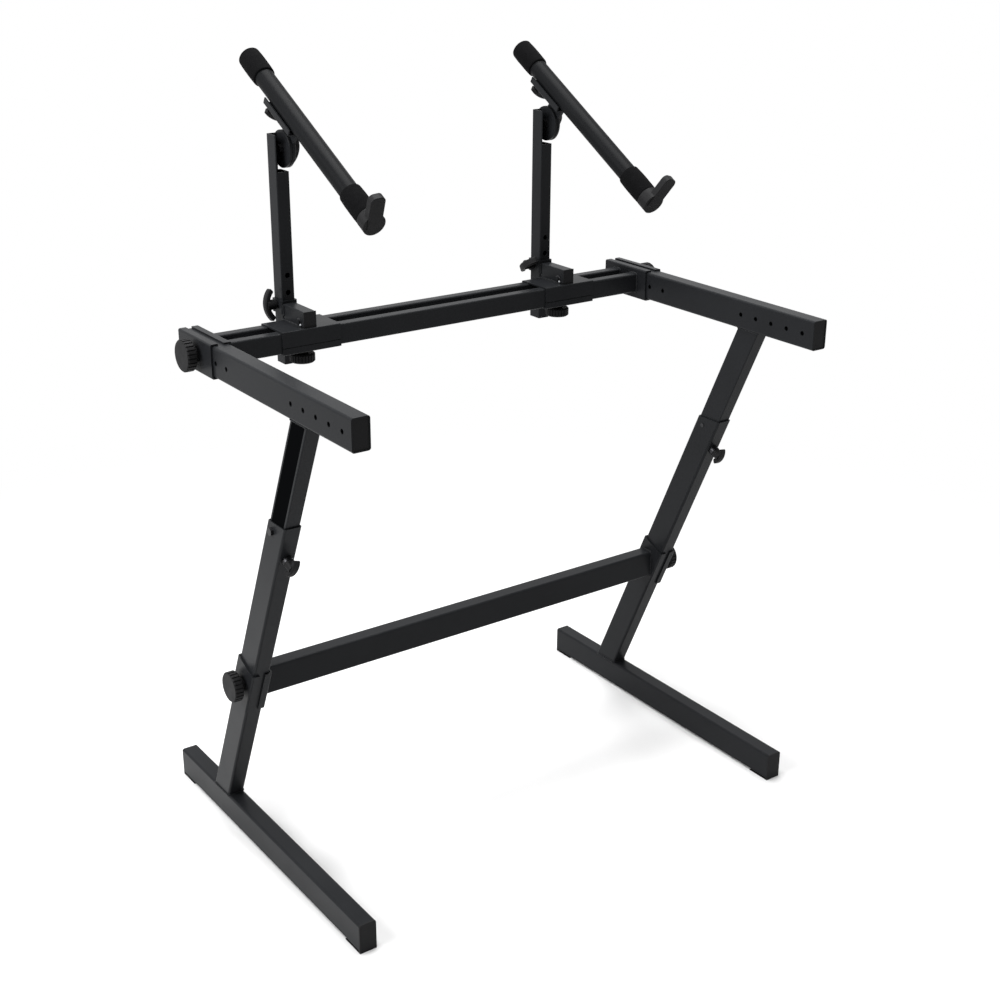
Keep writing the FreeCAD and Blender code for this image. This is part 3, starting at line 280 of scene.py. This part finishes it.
def painted_shade_band(tree, side):
    """A mask of painted shade that is one along the middle of an upper leg's outer face, and zero
    elsewhere.
    """
    lean_axis = Vector(JOINTS["height_slide"]["axis"])
    across = Vector((0, lean_axis.z, -lean_axis.y))
    outward = Vector((-1, 0, 0)) if side == "left" else Vector((1, 0, 0))
    corners = [Vector(corner) for corner in frame["nodes"][side + "_upper_leg"].bound_box]
    centre = across.dot(sum(corners, Vector()) / len(corners))
    half = UPPER_LEG_DEPTH / 2 - LEG_PAINTED_SHADE_RIM
    place = add_node(tree, "ShaderNodeTexCoord").outputs
    offset = calculate(tree, "SUBTRACT", dot_product(tree, place["Object"], across), centre)
    inside = add_node(tree, "ShaderNodeMapRange", None, {
        "Value": calculate(tree, "ABSOLUTE", offset), "From Min": half, "From Max": half + LEG_PAINTED_SHADE_EDGE,
        "To Min": 1.0, "To Max": 0.0})
    facing = add_node(tree, "ShaderNodeMapRange", None, {
        "Value": dot_product(tree, place["Normal"], outward), "From Min": FACING_FROM,
        "From Max": FACING_FULLY})
    return calculate(tree, "MULTIPLY", inside.outputs["Result"], facing.outputs["Result"])


# Film thickness drifts over about a hand's width. Orange peel is about 1 mm across and is drawn larger,
# so that it shows. The sand is the pigment's.
COAT_FILM = 90 * MM
COAT_PEEL = 1.6 * MM
COAT_SAND = 0.4 * MM
COAT_SAND_SHARE = 0.3
COAT_PEEL_DEPTH = 0.12 * MM
COAT_CLOUD = 0.18
COAT_GLOSS_DRIFT = 0.04

# Coats: share of the set colour, refractive index and roughness
SATIN_COAT = {"shade": 1.0, "gloss": 1.16, "roughness": 0.34}
DULL_COAT = {"shade": 0.5, "gloss": 1.12, "roughness": 0.44}


def powder_coat(name, shade, gloss, roughness, band_side=None):
    """Powder-coated mild steel, sprayed and baked: a skin with fine orange peel and cloudy gloss.
    On an upper leg, whose side is then given, it is painted dull and near black as shade on the band."""
    material, tree = new_material(name)
    steel = settings().colours.steel
    film = noise_pattern(tree, COAT_FILM, 3.0, 0.55)
    peel = noise_pattern(tree, COAT_PEEL, 2.0, 0.4)
    sand = noise_pattern(tree, COAT_SAND, 1.0)
    colour = two_tone(tree, film, steel, (1 - COAT_CLOUD) * shade, (1 + COAT_CLOUD) * shade)
    index = gloss
    # The band is painted shade: near black, and without reflection on faces that look outwards
    if band_side:
        mask = painted_shade_band(tree, band_side)
        colour = mix_colours(tree, mask, colour, shaded(steel, LEG_PAINTED_SHADE_TONE))
        index = blend(tree, mask, gloss, LEG_PAINTED_SHADE_GLOSS)
    skin(tree, {
        "Base Color": colour,
        "Roughness": spread(tree, film, roughness - COAT_GLOSS_DRIFT, roughness + COAT_GLOSS_DRIFT),
        "IOR": index,
        "Normal": relief(tree, add_share(tree, sand, COAT_SAND_SHARE, peel), 0.22, COAT_PEEL_DEPTH),
    })
    return material


# Eroded grain is about 0.3 mm and is drawn larger, so that it shows
PLASTIC_GRAIN = 0.8 * MM
PLASTIC_GRAIN_DEPTH = 0.1 * MM
PLASTIC_FLOW = 14 * MM


def moulded_plastic(name):
    """Black ABS, injection moulded in a spark-eroded tool: an even fine grain that scatters the light."""
    material, tree = new_material(name)
    grain = cell_pattern(tree, PLASTIC_GRAIN, "SMOOTH_F1")
    flow = noise_pattern(tree, PLASTIC_FLOW, 3.0)
    skin(tree, {
        "Base Color": two_tone(tree, flow, settings().colours.plastic, 0.85, 1.15),
        "Roughness": spread(tree, flow, 0.46, 0.58),
        "IOR": 1.18,
        "Normal": relief(tree, grain, 0.3, PLASTIC_GRAIN_DEPTH),
    })
    return material


# Cells are about 0.6 mm and are drawn larger, so that they show. A pit ends at a share of a cell, and is
# painted darker towards its floor as shade.
FOAM_CELL = 1.1 * MM
FOAM_PIT_DEPTH = 0.25 * MM
FOAM_PIT_FLOOR, FOAM_PIT_RIM = 0.1, 0.55
FOAM_SURFACE_LUMP = 6 * MM


def skinned_foam(name):
    """Closed-cell foam rubber, extruded and skinned: dull, with burst cells and a faint bloom."""
    material, tree = new_material(name)
    cells = cell_pattern(tree, FOAM_CELL, "F1")
    lumps = noise_pattern(tree, FOAM_SURFACE_LUMP, 4.0)
    pit_relief_and_shade = smooth_step(tree, cells, FOAM_PIT_FLOOR, FOAM_PIT_RIM)
    skin(tree, {
        # The pits are painted darker as shade
        "Base Color": two_tone(tree, pit_relief_and_shade, settings().colours.foam, 0.6, 1.2),
        "Roughness": spread(tree, lumps, 0.82, 0.94),
        "IOR": 1.12,
        "Sheen Weight": 0.01,
        "Sheen Roughness": 0.5,
        "Normal": relief(tree, add_share(tree, lumps, 0.8, pit_relief_and_shade), 0.5, FOAM_PIT_DEPTH),
    })
    return material


# Patches of oil or spangle on a screw
METAL_FILM = 3 * MM
METAL_FILM_DEPTH = 0.05 * MM


def metal(name, colour):
    """Blackened or plated steel, with a broken sheen where oil or spangle lies."""
    material, tree = new_material(name)
    film = noise_pattern(tree, METAL_FILM, 3.0)
    skin(tree, {
        "Base Color": two_tone(tree, film, colour, 0.7, 1.3),
        "Roughness": spread(tree, film, 0.26, 0.42),
        "Metallic": 1.0,
        "Normal": relief(tree, film, 0.15, METAL_FILM_DEPTH),
    })
    return material


def finish(name, maker, **options):
    """A finish that is made once and then shared."""
    return bpy.data.materials.get(name) or maker(name, **options)


def steel_finish():
    """The coat of the square tubes and folded plates."""
    return finish("satin_powder_coat", powder_coat, **SATIN_COAT)


def leg_finish_with_painted_shade(side):
    """The coat of an upper leg, with a band of painted shade on its outer face."""
    return finish(side + "_leg_coat", powder_coat, **SATIN_COAT, band_side=side)


def arm_finish():
    """The darker and duller coat of the round arm tubes."""
    return finish("dull_powder_coat", powder_coat, **DULL_COAT)


def plastic_finish():
    return finish("moulded_abs", moulded_plastic)


def foam_finish():
    return finish("closed_cell_foam", skinned_foam)


def screw_finish():
    """Blackened steel, heat-treated and oiled."""
    return finish("black_oxide_steel", metal, colour=settings().colours.screw)


def plated_finish():
    """Steel plated with zinc in a barrel."""
    return finish("zinc_plated_steel", metal, colour=settings().colours.plating)


def paint(names, material):
    """Gives one finish to each of these solids."""
    for name in names:
        slots = frame["nodes"][name].material_slots
        if not slots:
            raise RuntimeError("%s has no material slot" % name)
        for each in slots:
            each.material = material


def is_plastic(name):
    return name.split("_")[-1] in PLASTIC_WORDS


# Edges that turn by more than this many degrees stay sharp
SCREW_SHARP = 40
FOAM_SHARP = 60
BEAD_SHARP = 80

# Points of a piece that are closer than this become one, in metres
MERGE_DISTANCE = 1e-6


def new_piece(name, mesh, material, body, sharp_angle):
    """A finished piece: a mesh at the origin that rides on a body."""
    mesh.name = name
    mesh.materials.clear()
    mesh.materials.append(material)
    mesh.shade_smooth()
    mesh.set_sharp_from_angle(angle=math.radians(sharp_angle))
    piece = bpy.data.objects.new(name, mesh)
    bpy.context.scene.collection.objects.link(piece)
    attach(piece, body)
    return piece


def mesh_from(build):
    """A mesh from a function that fills a bmesh."""
    work = bmesh.new()
    build(work)
    bmesh.ops.remove_doubles(work, verts=work.verts, dist=MERGE_DISTANCE)
    bmesh.ops.recalc_face_normals(work, faces=work.faces)
    mesh = bpy.data.meshes.new("piece")
    work.to_mesh(mesh)
    work.free()
    return mesh


def axis_frame(origin, along):
    """A matrix whose Z runs along a direction and whose X stays level with the stand's X."""
    z = Vector(along).normalized()
    x = Vector((1, 0, 0))
    x = (x - z * x.dot(z)).normalized()
    y = z.cross(x)
    turn = Matrix((x, y, z)).transposed().to_4x4()
    return Matrix.Translation(Vector(origin)) @ turn


class STAND_OT_steel(bpy.types.Operator):
    """Coats the steel tubes, saddles, carriages and brackets"""
    bl_idname = "stand.steel"
    bl_label = "Coat the steel"

    def execute(self, context):
        names = [n for n in frame["nodes"] if not is_plastic(n) and n not in SCREW_NODES]
        paint(names, steel_finish())
        paint(ARM_NODES, arm_finish())
        # Each upper leg gets a near-black band of painted shade on its outer face
        for side in SIDES:
            paint([side + "_upper_leg"], leg_finish_with_painted_shade(side))
        paint(SCREW_NODES, screw_finish())
        return {"FINISHED"}


class STAND_OT_plastic(bpy.types.Operator):
    """Gives the knobs, plugs and end lips their moulded finish"""
    bl_idname = "stand.plastic"
    bl_label = "Finish the plastic"

    def execute(self, context):
        paint([n for n in frame["nodes"] if is_plastic(n)], plastic_finish())
        return {"FINISHED"}


# Points of a foam sleeve round the arm, round its edges and along it
FOAM_AROUND = 72
FOAM_ROUNDING_STEPS = 5
FOAM_ALONG = 14

# Radius of the bore, the gap to the lip, and the thickness and dome of the cover over the tube's rear end
FOAM_BORE = 15.9 * MM
FOAM_GAP = 0.3 * MM
FOAM_COVER = 3 * MM
FOAM_DOME = 0.3 * MM
FOAM_DOME_SHARES = (0.5, 0.2, 0.0)

# Unevenness of the outside, which starts this far from the bore
FOAM_LUMP = 9 * MM
FOAM_LUMP_DEPTH = 0.22 * MM
FOAM_EVEN = 0.5 * MM


def foam_profile(closed):
    """Distance along and radius of the points round a sleeve's section. A closed one ends in poles."""
    sizes = settings().sizes
    length = sizes.foam_length - FOAM_GAP
    rounding = sizes.foam_rounding
    half = sizes.foam_diameter / 2
    shoulder = half - rounding
    quarter = [math.pi / 2 * step / FOAM_ROUNDING_STEPS for step in range(FOAM_ROUNDING_STEPS + 1)]
    cover = length - FOAM_COVER
    profile = [(cover, 0.0), (cover, FOAM_BORE)] if closed else []
    profile.append((0.0, FOAM_BORE))
    for turn in quarter:
        profile.append((rounding - rounding * math.cos(turn), shoulder + rounding * math.sin(turn)))
    straight = length - 2 * rounding
    for step in range(1, FOAM_ALONG):
        share = step / FOAM_ALONG
        profile.append((rounding + straight * share, half + sizes.foam_swell * math.sin(math.pi * share)))
    far_edge = length - rounding
    for turn in quarter:
        profile.append((far_edge + rounding * math.sin(turn), shoulder + rounding * math.cos(turn)))
    if not closed:
        return profile + [(length, FOAM_BORE)]
    for share in FOAM_DOME_SHARES:
        profile.append((length + FOAM_DOME * (1 - share), half * share))
    return profile


def foam_ring(work, along, radius, place):
    """One ring of points round the arm, uneven as cut foam is on its outside."""
    if radius == 0:
        return [work.verts.new(place @ Vector((0, 0, along)))]
    ring = []
    for step in range(FOAM_AROUND):
        angle = 2 * math.pi * step / FOAM_AROUND
        away = Vector((math.cos(angle), math.sin(angle), 0))
        spot = away * radius + Vector((0, 0, along))
        if radius > FOAM_BORE + FOAM_EVEN:
            spot += away * noise.noise(spot / FOAM_LUMP) * FOAM_LUMP_DEPTH
        ring.append(work.verts.new(place @ spot))
    return ring


def foam_sleeve(closed, place):
    """One foam sleeve round the arm."""
    def build(work):
        rings = [foam_ring(work, along, radius, place) for along, radius in foam_profile(closed)]
        pairs = list(zip(rings, rings[1:]))
        if not closed:
            pairs.append((rings[-1], rings[0]))
        for first, second in pairs:
            join_rings(work, first, second)

    return mesh_from(build)


def join_rings(work, first, second):
    """Faces between two rings of points; a ring of one point is a pole."""
    count = max(len(first), len(second))
    for step in range(count):
        after = (step + 1) % count
        corners = [first[step % len(first)], first[after % len(first)],
                   second[after % len(second)], second[step % len(second)]]
        unique = list(dict.fromkeys(corners))
        work.faces.new(unique)


class STAND_OT_foam(bpy.types.Operator):
    """Pulls two foam sleeves over each upper arm"""
    bl_idname = "stand.foam"
    bl_label = "Fit the foam grips"

    def execute(self, context):
        length = settings().sizes.foam_length
        for side in SIDES:
            lip = JOINTS[side + "_lip_turn"]
            back = -Vector(lip["axis"])
            front_end = Vector(lip["pos_m"])
            low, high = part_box(side + "_foam_grips")
            radius = (high.x - low.x) / 2
            arm_length = (high.z - low.z - 2 * radius * back.y) / back.z
            for end, closed, start in (("front", False, FOAM_GAP), ("rear", True, arm_length - length)):
                place = axis_frame(front_end + back * start, back)
                mesh = foam_sleeve(closed, place)
                name = "%s_%s_foam" % (side, end)
                piece = new_piece(name, mesh, foam_finish(), side + "_arm", FOAM_SHARP)
                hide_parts(side + "_foam_grips")
        return {"FINISHED"}


# Ripples of a weld bead: least and greatest width, and length along the seam against the pitch
RIPPLE_NARROW, RIPPLE_WIDE = 0.86, 1.08
RIPPLE_OVERLAP = 1.9
RIPPLE_SUBDIVISIONS = 2


def bead_tree():
    """A node tree that lays a rippled weld bead along the edges of a mesh."""
    tree = bpy.data.node_groups.new("weld_bead", "GeometryNodeTree")
    face = tree.interface
    face.new_socket("Path", in_out="INPUT", socket_type="NodeSocketGeometry")
    ids = {}
    kinds = {"Width": "Float", "Pitch": "Float", "Seed": "Int", "Finish": "Material"}
    for name, kind in kinds.items():
        ids[name] = face.new_socket(name, in_out="INPUT", socket_type="NodeSocket" + kind).identifier
    face.new_socket("Bead", in_out="OUTPUT", socket_type="NodeSocketGeometry")
    given = add_node(tree, "NodeGroupInput").outputs
    line = add_node(tree, "GeometryNodeMeshToCurve", None, {"Mesh": given["Path"]})
    spots = add_node(tree, "GeometryNodeCurveToPoints", {"mode": "LENGTH"},
                     {"Curve": line.outputs["Curve"], "Length": given["Pitch"]})
    # Each ripple is a ball, about as long along the seam as it is wide
    ball = add_node(tree, "GeometryNodeMeshIcoSphere", None, {
        "Radius": 0.5, "Subdivisions": RIPPLE_SUBDIVISIONS})
    uneven = add_node(tree, "FunctionNodeRandomValue", {"data_type": "FLOAT"},
                      {2: RIPPLE_NARROW, 3: RIPPLE_WIDE, "Seed": given["Seed"]})
    width = calculate(tree, "MULTIPLY", given["Width"], uneven.outputs[1])
    thick = calculate(tree, "MULTIPLY", given["Pitch"], RIPPLE_OVERLAP)
    scale = add_node(tree, "ShaderNodeCombineXYZ", None, {"X": width, "Y": width, "Z": thick})
    balls = add_node(tree, "GeometryNodeInstanceOnPoints", None,
                     {"Points": spots.outputs["Points"], "Instance": ball.outputs["Mesh"],
                      "Rotation": spots.outputs["Rotation"], "Scale": scale.outputs["Vector"]})
    plain = add_node(tree, "GeometryNodeRealizeInstances", None, {"Geometry": balls.outputs["Instances"]})
    finished = add_node(tree, "GeometryNodeSetMaterial", None,
                        {"Geometry": plain.outputs["Geometry"], "Material": given["Finish"]})
    add_node(tree, "NodeGroupOutput", None, {"Bead": finished.outputs["Geometry"]})
    return tree, ids


def rectangle_path(centre, across, along, corner):
    """A closed path round a tube's foot: half sizes as vectors, corners cut by a given length."""
    cut_across = across.normalized() * corner
    cut_along = along.normalized() * corner
    path = []
    for sx, sy in ((1, 1), (-1, 1), (-1, -1), (1, -1)):
        tip = centre + across * sx + along * sy
        first, second = tip - cut_along * sy, tip - cut_across * sx
        path += [first, second] if sx * sy > 0 else [second, first]
    return path, True


# Cut corners of the seams, and how far the upright welds stop below the block's top
SEAM_CORNER = 2 * MM
FOOT_SEAM_CORNER = 3 * MM
WELD_TOP_GAP = 3 * MM


def leg_seam(node, leg_depth, corner, at_foot):
    """The seam round a leg's level end, which is its foot or its top."""
    lean_axis = Vector(JOINTS["height_slide"]["axis"])
    stretch = 1 / lean_axis.z
    depth = leg_depth * stretch
    low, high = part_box(node)
    half = Vector(((high.x - low.x) / 2, 0, 0))
    middle = (low.x + high.x) / 2
    if at_foot:
        centre = Vector((middle, high.y - depth / 2, low.z))
    else:
        centre = Vector((middle, low.y + depth / 2, high.z))
    return rectangle_path(centre, half, Vector((0, depth / 2, 0)), corner)


def bar_seams(bar):
    """Seams round both ends of a cross tube."""
    low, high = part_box(bar)
    middle = (low + high) / 2
    across = Vector((0, (high.y - low.y) / 2, 0))
    upright = Vector((0, 0, (high.z - low.z) / 2))
    ends = [Vector((x, middle.y, middle.z)) for x in (low.x, high.x)]
    return [rectangle_path(end, across, upright, SEAM_CORNER) for end in ends]


def carriage_seams(side):
    """Seams along the block on its channel, and up the block's corners with the socket."""
    low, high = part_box(side + "_block_cap")
    socket_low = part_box(side + "_post_socket")[0]
    channel_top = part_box(side + "_carriage_channel")[1].z
    weld_top = high.z - WELD_TOP_GAP
    seams = []
    for x in (low.x, high.x):
        along = [Vector((x, high.y, channel_top)), Vector((x, socket_low.y, channel_top))]
        upright = [Vector((x, socket_low.y, socket_low.z)), Vector((x, socket_low.y, weld_top))]
        seams += [(along, False), (upright, False)]
    return seams


def lay_beads(name, body, seams, beads):
    """One piece of weld beads along some seams of a body."""
    mesh = bpy.data.meshes.new(name + "_path")
    spots, edges = [], []
    for path, closed in seams:
        first = len(spots)
        spots += path
        edges += [(first + step, first + step + 1) for step in range(len(path) - 1)]
        if closed:
            edges.append((len(spots) - 1, first))
    mesh.from_pydata(spots, edges, [])
    carrier = bpy.data.objects.new(name + "_path", mesh)
    bpy.context.scene.collection.objects.link(carrier)
    sizes = settings().sizes
    tree, ids = beads
    layer = carrier.modifiers.new("Weld bead", "NODES")
    layer.node_group = tree
    layer[ids["Width"]] = sizes.bead_width
    layer[ids["Pitch"]] = sizes.bead_pitch
    layer[ids["Seed"]] = sizes.bead_seed
    layer[ids["Finish"]] = steel_finish()
    bpy.context.view_layer.update()
    evaluated = carrier.evaluated_get(bpy.context.evaluated_depsgraph_get())
    plain = bpy.data.meshes.new_from_object(evaluated)
    bpy.data.objects.remove(carrier)
    return new_piece(name, plain, steel_finish(), body, BEAD_SHARP)


class STAND_OT_welds(bpy.types.Operator):
    """Lays the weld beads of the side frames, rails and carriages"""
    bl_idname = "stand.welds"
    bl_label = "Lay the weld beads"

    def execute(self, context):
        beads = bead_tree()
        feet = [leg_seam(side + "_lower_leg", LOWER_LEG_DEPTH, FOOT_SEAM_CORNER, True) for side in SIDES]
        lay_beads("lower_frame_welds", "lower_frame", feet + bar_seams("lower_crossbar"), beads)
        tops = [leg_seam(side + "_upper_leg", UPPER_LEG_DEPTH, SEAM_CORNER, False) for side in SIDES]
        rails = bar_seams("front_rail") + bar_seams("rear_rail")
        lay_beads("upper_frame_welds", "upper_frame", tops + rails, beads)
        for side in SIDES:
            lay_beads(side + "_carriage_welds", side + "_carriage", carriage_seams(side), beads)
        return {"FINISHED"}


# Small screws on the left face of each carriage block, placed from the block's front lower corner
BUTTON_AROUND = 32
BUTTON_DOME_STEPS = 5
BUTTON_SEAT = 0.3 * MM
WASHER_RADIUS = 6.2 * MM
WASHER_RIM = 1.0 * MM
WASHER_CROWN = 0.5 * MM
WASHER_BACK = 15.5 * MM
WASHER_RISE = 8 * MM
PLATED_RADIUS = 2.8 * MM
PLATED_RIM = 0.8 * MM
PLATED_CROWN = 2.0 * MM
PLATED_BACK = 11 * MM
PLATED_RISE = 2.9 * MM


def button(seat, radius, rim, crown):
    """A low domed disc that stands to the left of its seat and is sunk a little into it."""
    profile = [(-BUTTON_SEAT, 0), (-BUTTON_SEAT, radius), (rim, radius)]
    for step in range(1, BUTTON_DOME_STEPS):
        angle = math.pi / 2 * step / BUTTON_DOME_STEPS
        profile.append((rim + crown * math.sin(angle), radius * math.cos(angle)))
    profile.append((rim + crown, 0))

    def build(work):
        rings = []
        for height, reach in profile:
            count = BUTTON_AROUND if reach else 1
            ring = []
            for step in range(count):
                turn = 2 * math.pi * step / count
                away = Vector((-height, reach * math.cos(turn), reach * math.sin(turn)))
                ring.append(work.verts.new(seat + away))
            rings.append(ring)
        for first, second in zip(rings, rings[1:]):
            join_rings(work, first, second)

    return mesh_from(build)


class STAND_OT_screws(bpy.types.Operator):
    """Adds the small screw and the washer on the side of each carriage block"""
    bl_idname = "stand.screws"
    bl_label = "Add the small screws"

    def execute(self, context):
        for side in SIDES:
            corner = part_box(side + "_block_cap")[0]
            washer = corner + Vector((0, WASHER_BACK, WASHER_RISE))
            screw = corner + Vector((0, PLATED_BACK, PLATED_RISE))
            new_piece(side + "_block_washer", button(washer, WASHER_RADIUS, WASHER_RIM, WASHER_CROWN),
                      screw_finish(), side + "_carriage", SCREW_SHARP)
            new_piece(side + "_block_screw", button(screw, PLATED_RADIUS, PLATED_RIM, PLATED_CROWN),
                      plated_finish(), side + "_carriage", SCREW_SHARP)
        return {"FINISHED"}


def seen_directly(tree):
    """One for rays from the camera, mirrored rays and rays through glass, and nought for the rest."""
    path = add_node(tree, "ShaderNodeLightPath").outputs
    eye = calculate(tree, "MAXIMUM", path["Is Camera Ray"], path["Is Glossy Ray"])
    return calculate(tree, "MAXIMUM", eye, path["Is Transmission Ray"])


# The painted floor gives way to plain white between these distances from the middle, in metres
FLOOR_PAINT_END, FLOOR_WHITE_START = 0.7, 2.0


def floor_material():
    """Painted studio floor: white to the camera and to reflections, and it keeps the soft shadow."""
    colour = settings().colours.floor
    material, tree = new_material("white_studio_floor")
    paint_coat = add_node(tree, "ShaderNodeBsdfDiffuse", None, {"Color": opaque(colour)})
    glow = add_node(tree, "ShaderNodeEmission", None, {"Color": WHITE, "Strength": 1.0})
    place = add_node(tree, "ShaderNodeTexCoord")
    away = add_node(tree, "ShaderNodeVectorMath", {"operation": "LENGTH"}, {0: place.outputs["Object"]})
    far = smooth_step(tree, away.outputs["Value"], FLOOR_PAINT_END, FLOOR_WHITE_START)
    share = calculate(tree, "MULTIPLY", seen_directly(tree), far)
    mixed = add_node(tree, "ShaderNodeMixShader", None, {
        0: share, 1: paint_coat.outputs["BSDF"], 2: glow.outputs["Emission"]})
    add_node(tree, "ShaderNodeOutputMaterial", None, {"Surface": mixed.outputs["Shader"]})
    return material


# Strength of the room's light where the room isn't seen
FILL_STRENGTH = 0.12


def studio_world():
    """A white room: plain white where it is seen, and a weak fill for the rest of the light."""
    world = bpy.data.worlds.new("studio_room")
    world.use_nodes = True
    tree = world.node_tree
    tree.nodes.clear()
    strength = blend(tree, seen_directly(tree), FILL_STRENGTH, 1.0)
    sky = add_node(tree, "ShaderNodeBackground", None, {"Color": WHITE, "Strength": strength})
    add_node(tree, "ShaderNodeOutputWorld", None, {"Surface": sky.outputs["Background"]})
    bpy.context.scene.world = world


# Soft boxes: name, place in metres, side lengths in metres, watts
LAMPS = (
    ("key_softbox", (-3.0, 0.3, 2.4), (2.2, 1.8), 115),
    ("top_softbox", (0.2, 0.9, 6.0), (4.4, 4.4), 560),
)
LAMP_AIM = Vector((0, 0, 0.6))


def studio_lamps():
    for name, place, sides, watts in LAMPS:
        lamp = bpy.data.lights.new(name, "AREA")
        lamp.shape = "RECTANGLE"
        lamp.size, lamp.size_y = sides
        lamp.energy = watts
        box = bpy.data.objects.new(name, lamp)
        box.location = place
        box.rotation_euler = (LAMP_AIM - Vector(place)).to_track_quat("-Z", "Y").to_euler()
        bpy.context.scene.collection.objects.link(box)


# Metres from the middle to an edge of the floor
FLOOR_REACH = 30.0


def studio_floor():
    mesh = bpy.data.meshes.new("studio_floor")
    corners = [(-FLOOR_REACH, -FLOOR_REACH, 0), (FLOOR_REACH, -FLOOR_REACH, 0),
               (FLOOR_REACH, FLOOR_REACH, 0), (-FLOOR_REACH, FLOOR_REACH, 0)]
    mesh.from_pydata(corners, [], [(0, 1, 2, 3)])
    mesh.materials.append(floor_material())
    floor = bpy.data.objects.new("studio_floor", mesh)
    bpy.context.scene.collection.objects.link(floor)


# Width of the sensor in millimetres, and metres to the end of the view
SENSOR_WIDTH = 36
VIEW_END = 100


def studio_camera():
    """A camera at the photograph's viewing angle."""
    studio = settings().studio
    turn, dip = studio.camera_turn, studio.camera_dip
    look = Vector((math.sin(turn) * math.cos(dip), math.cos(turn) * math.cos(dip), -math.sin(dip)))
    level = look.cross(Vector((0, 0, 1))).normalized()
    upright = level.cross(look)
    roll = studio.camera_roll
    right = level * math.cos(roll) + upright * math.sin(roll)
    up = upright * math.cos(roll) - level * math.sin(roll)
    lens = bpy.data.cameras.new("studio_camera")
    lens.sensor_width = SENSOR_WIDTH
    lens.lens = studio.lens
    lens.clip_end = VIEW_END
    camera = bpy.data.objects.new("studio_camera", lens)
    turned = Matrix((right, up, -look)).transposed().to_4x4()
    camera.matrix_world = Matrix.Translation(Vector(studio.camera_place)) @ turned
    bpy.context.scene.collection.objects.link(camera)
    bpy.context.scene.camera = camera


class STAND_OT_studio(bpy.types.Operator):
    """Sets up the floor, the soft light and the camera"""
    bl_idname = "stand.studio"
    bl_label = "Set up the studio"

    def execute(self, context):
        studio_world()
        studio_lamps()
        studio_floor()
        studio_camera()
        context.scene.view_settings.view_transform = "Standard"
        return {"FINISHED"}


OPERATORS = (STAND_OT_studio, STAND_OT_steel, STAND_OT_plastic, STAND_OT_foam, STAND_OT_welds,
             STAND_OT_screws)


class STAND_PT_pieces(bpy.types.Panel):
    """Lists the steps that dress the stand"""
    bl_idname = "STAND_PT_pieces"
    bl_label = "Keyboard stand"
    bl_space_type = "VIEW_3D"
    bl_region_type = "UI"
    bl_category = "Stand"

    def draw(self, context):
        column = self.layout.column()
        for step in OPERATORS:
            column.operator(step.bl_idname)
        for group in (settings().sizes, settings().colours, settings().studio):
            box = self.layout.box()
            for name in group.bl_rna.properties.keys():
                if name not in ("rna_type", "name"):
                    box.prop(group, name)


CLASSES = (StandSizes, StandColours, StandStudio, StandSettings, *OPERATORS, STAND_PT_pieces)


def register():
    for each in CLASSES:
        bpy.utils.register_class(each)
    bpy.types.Scene.keyboard_stand = PointerProperty(type=StandSettings)


def unregister():
    del bpy.types.Scene.keyboard_stand
    for each in reversed(CLASSES):
        bpy.utils.unregister_class(each)


def main():
    register()
    bpy.ops.stand.studio()
    bpy.ops.stand.steel()
    bpy.ops.stand.plastic()
    bpy.ops.stand.foam()
    bpy.ops.stand.welds()
    bpy.ops.stand.screws()


if __name__ == "__main__":
    main()
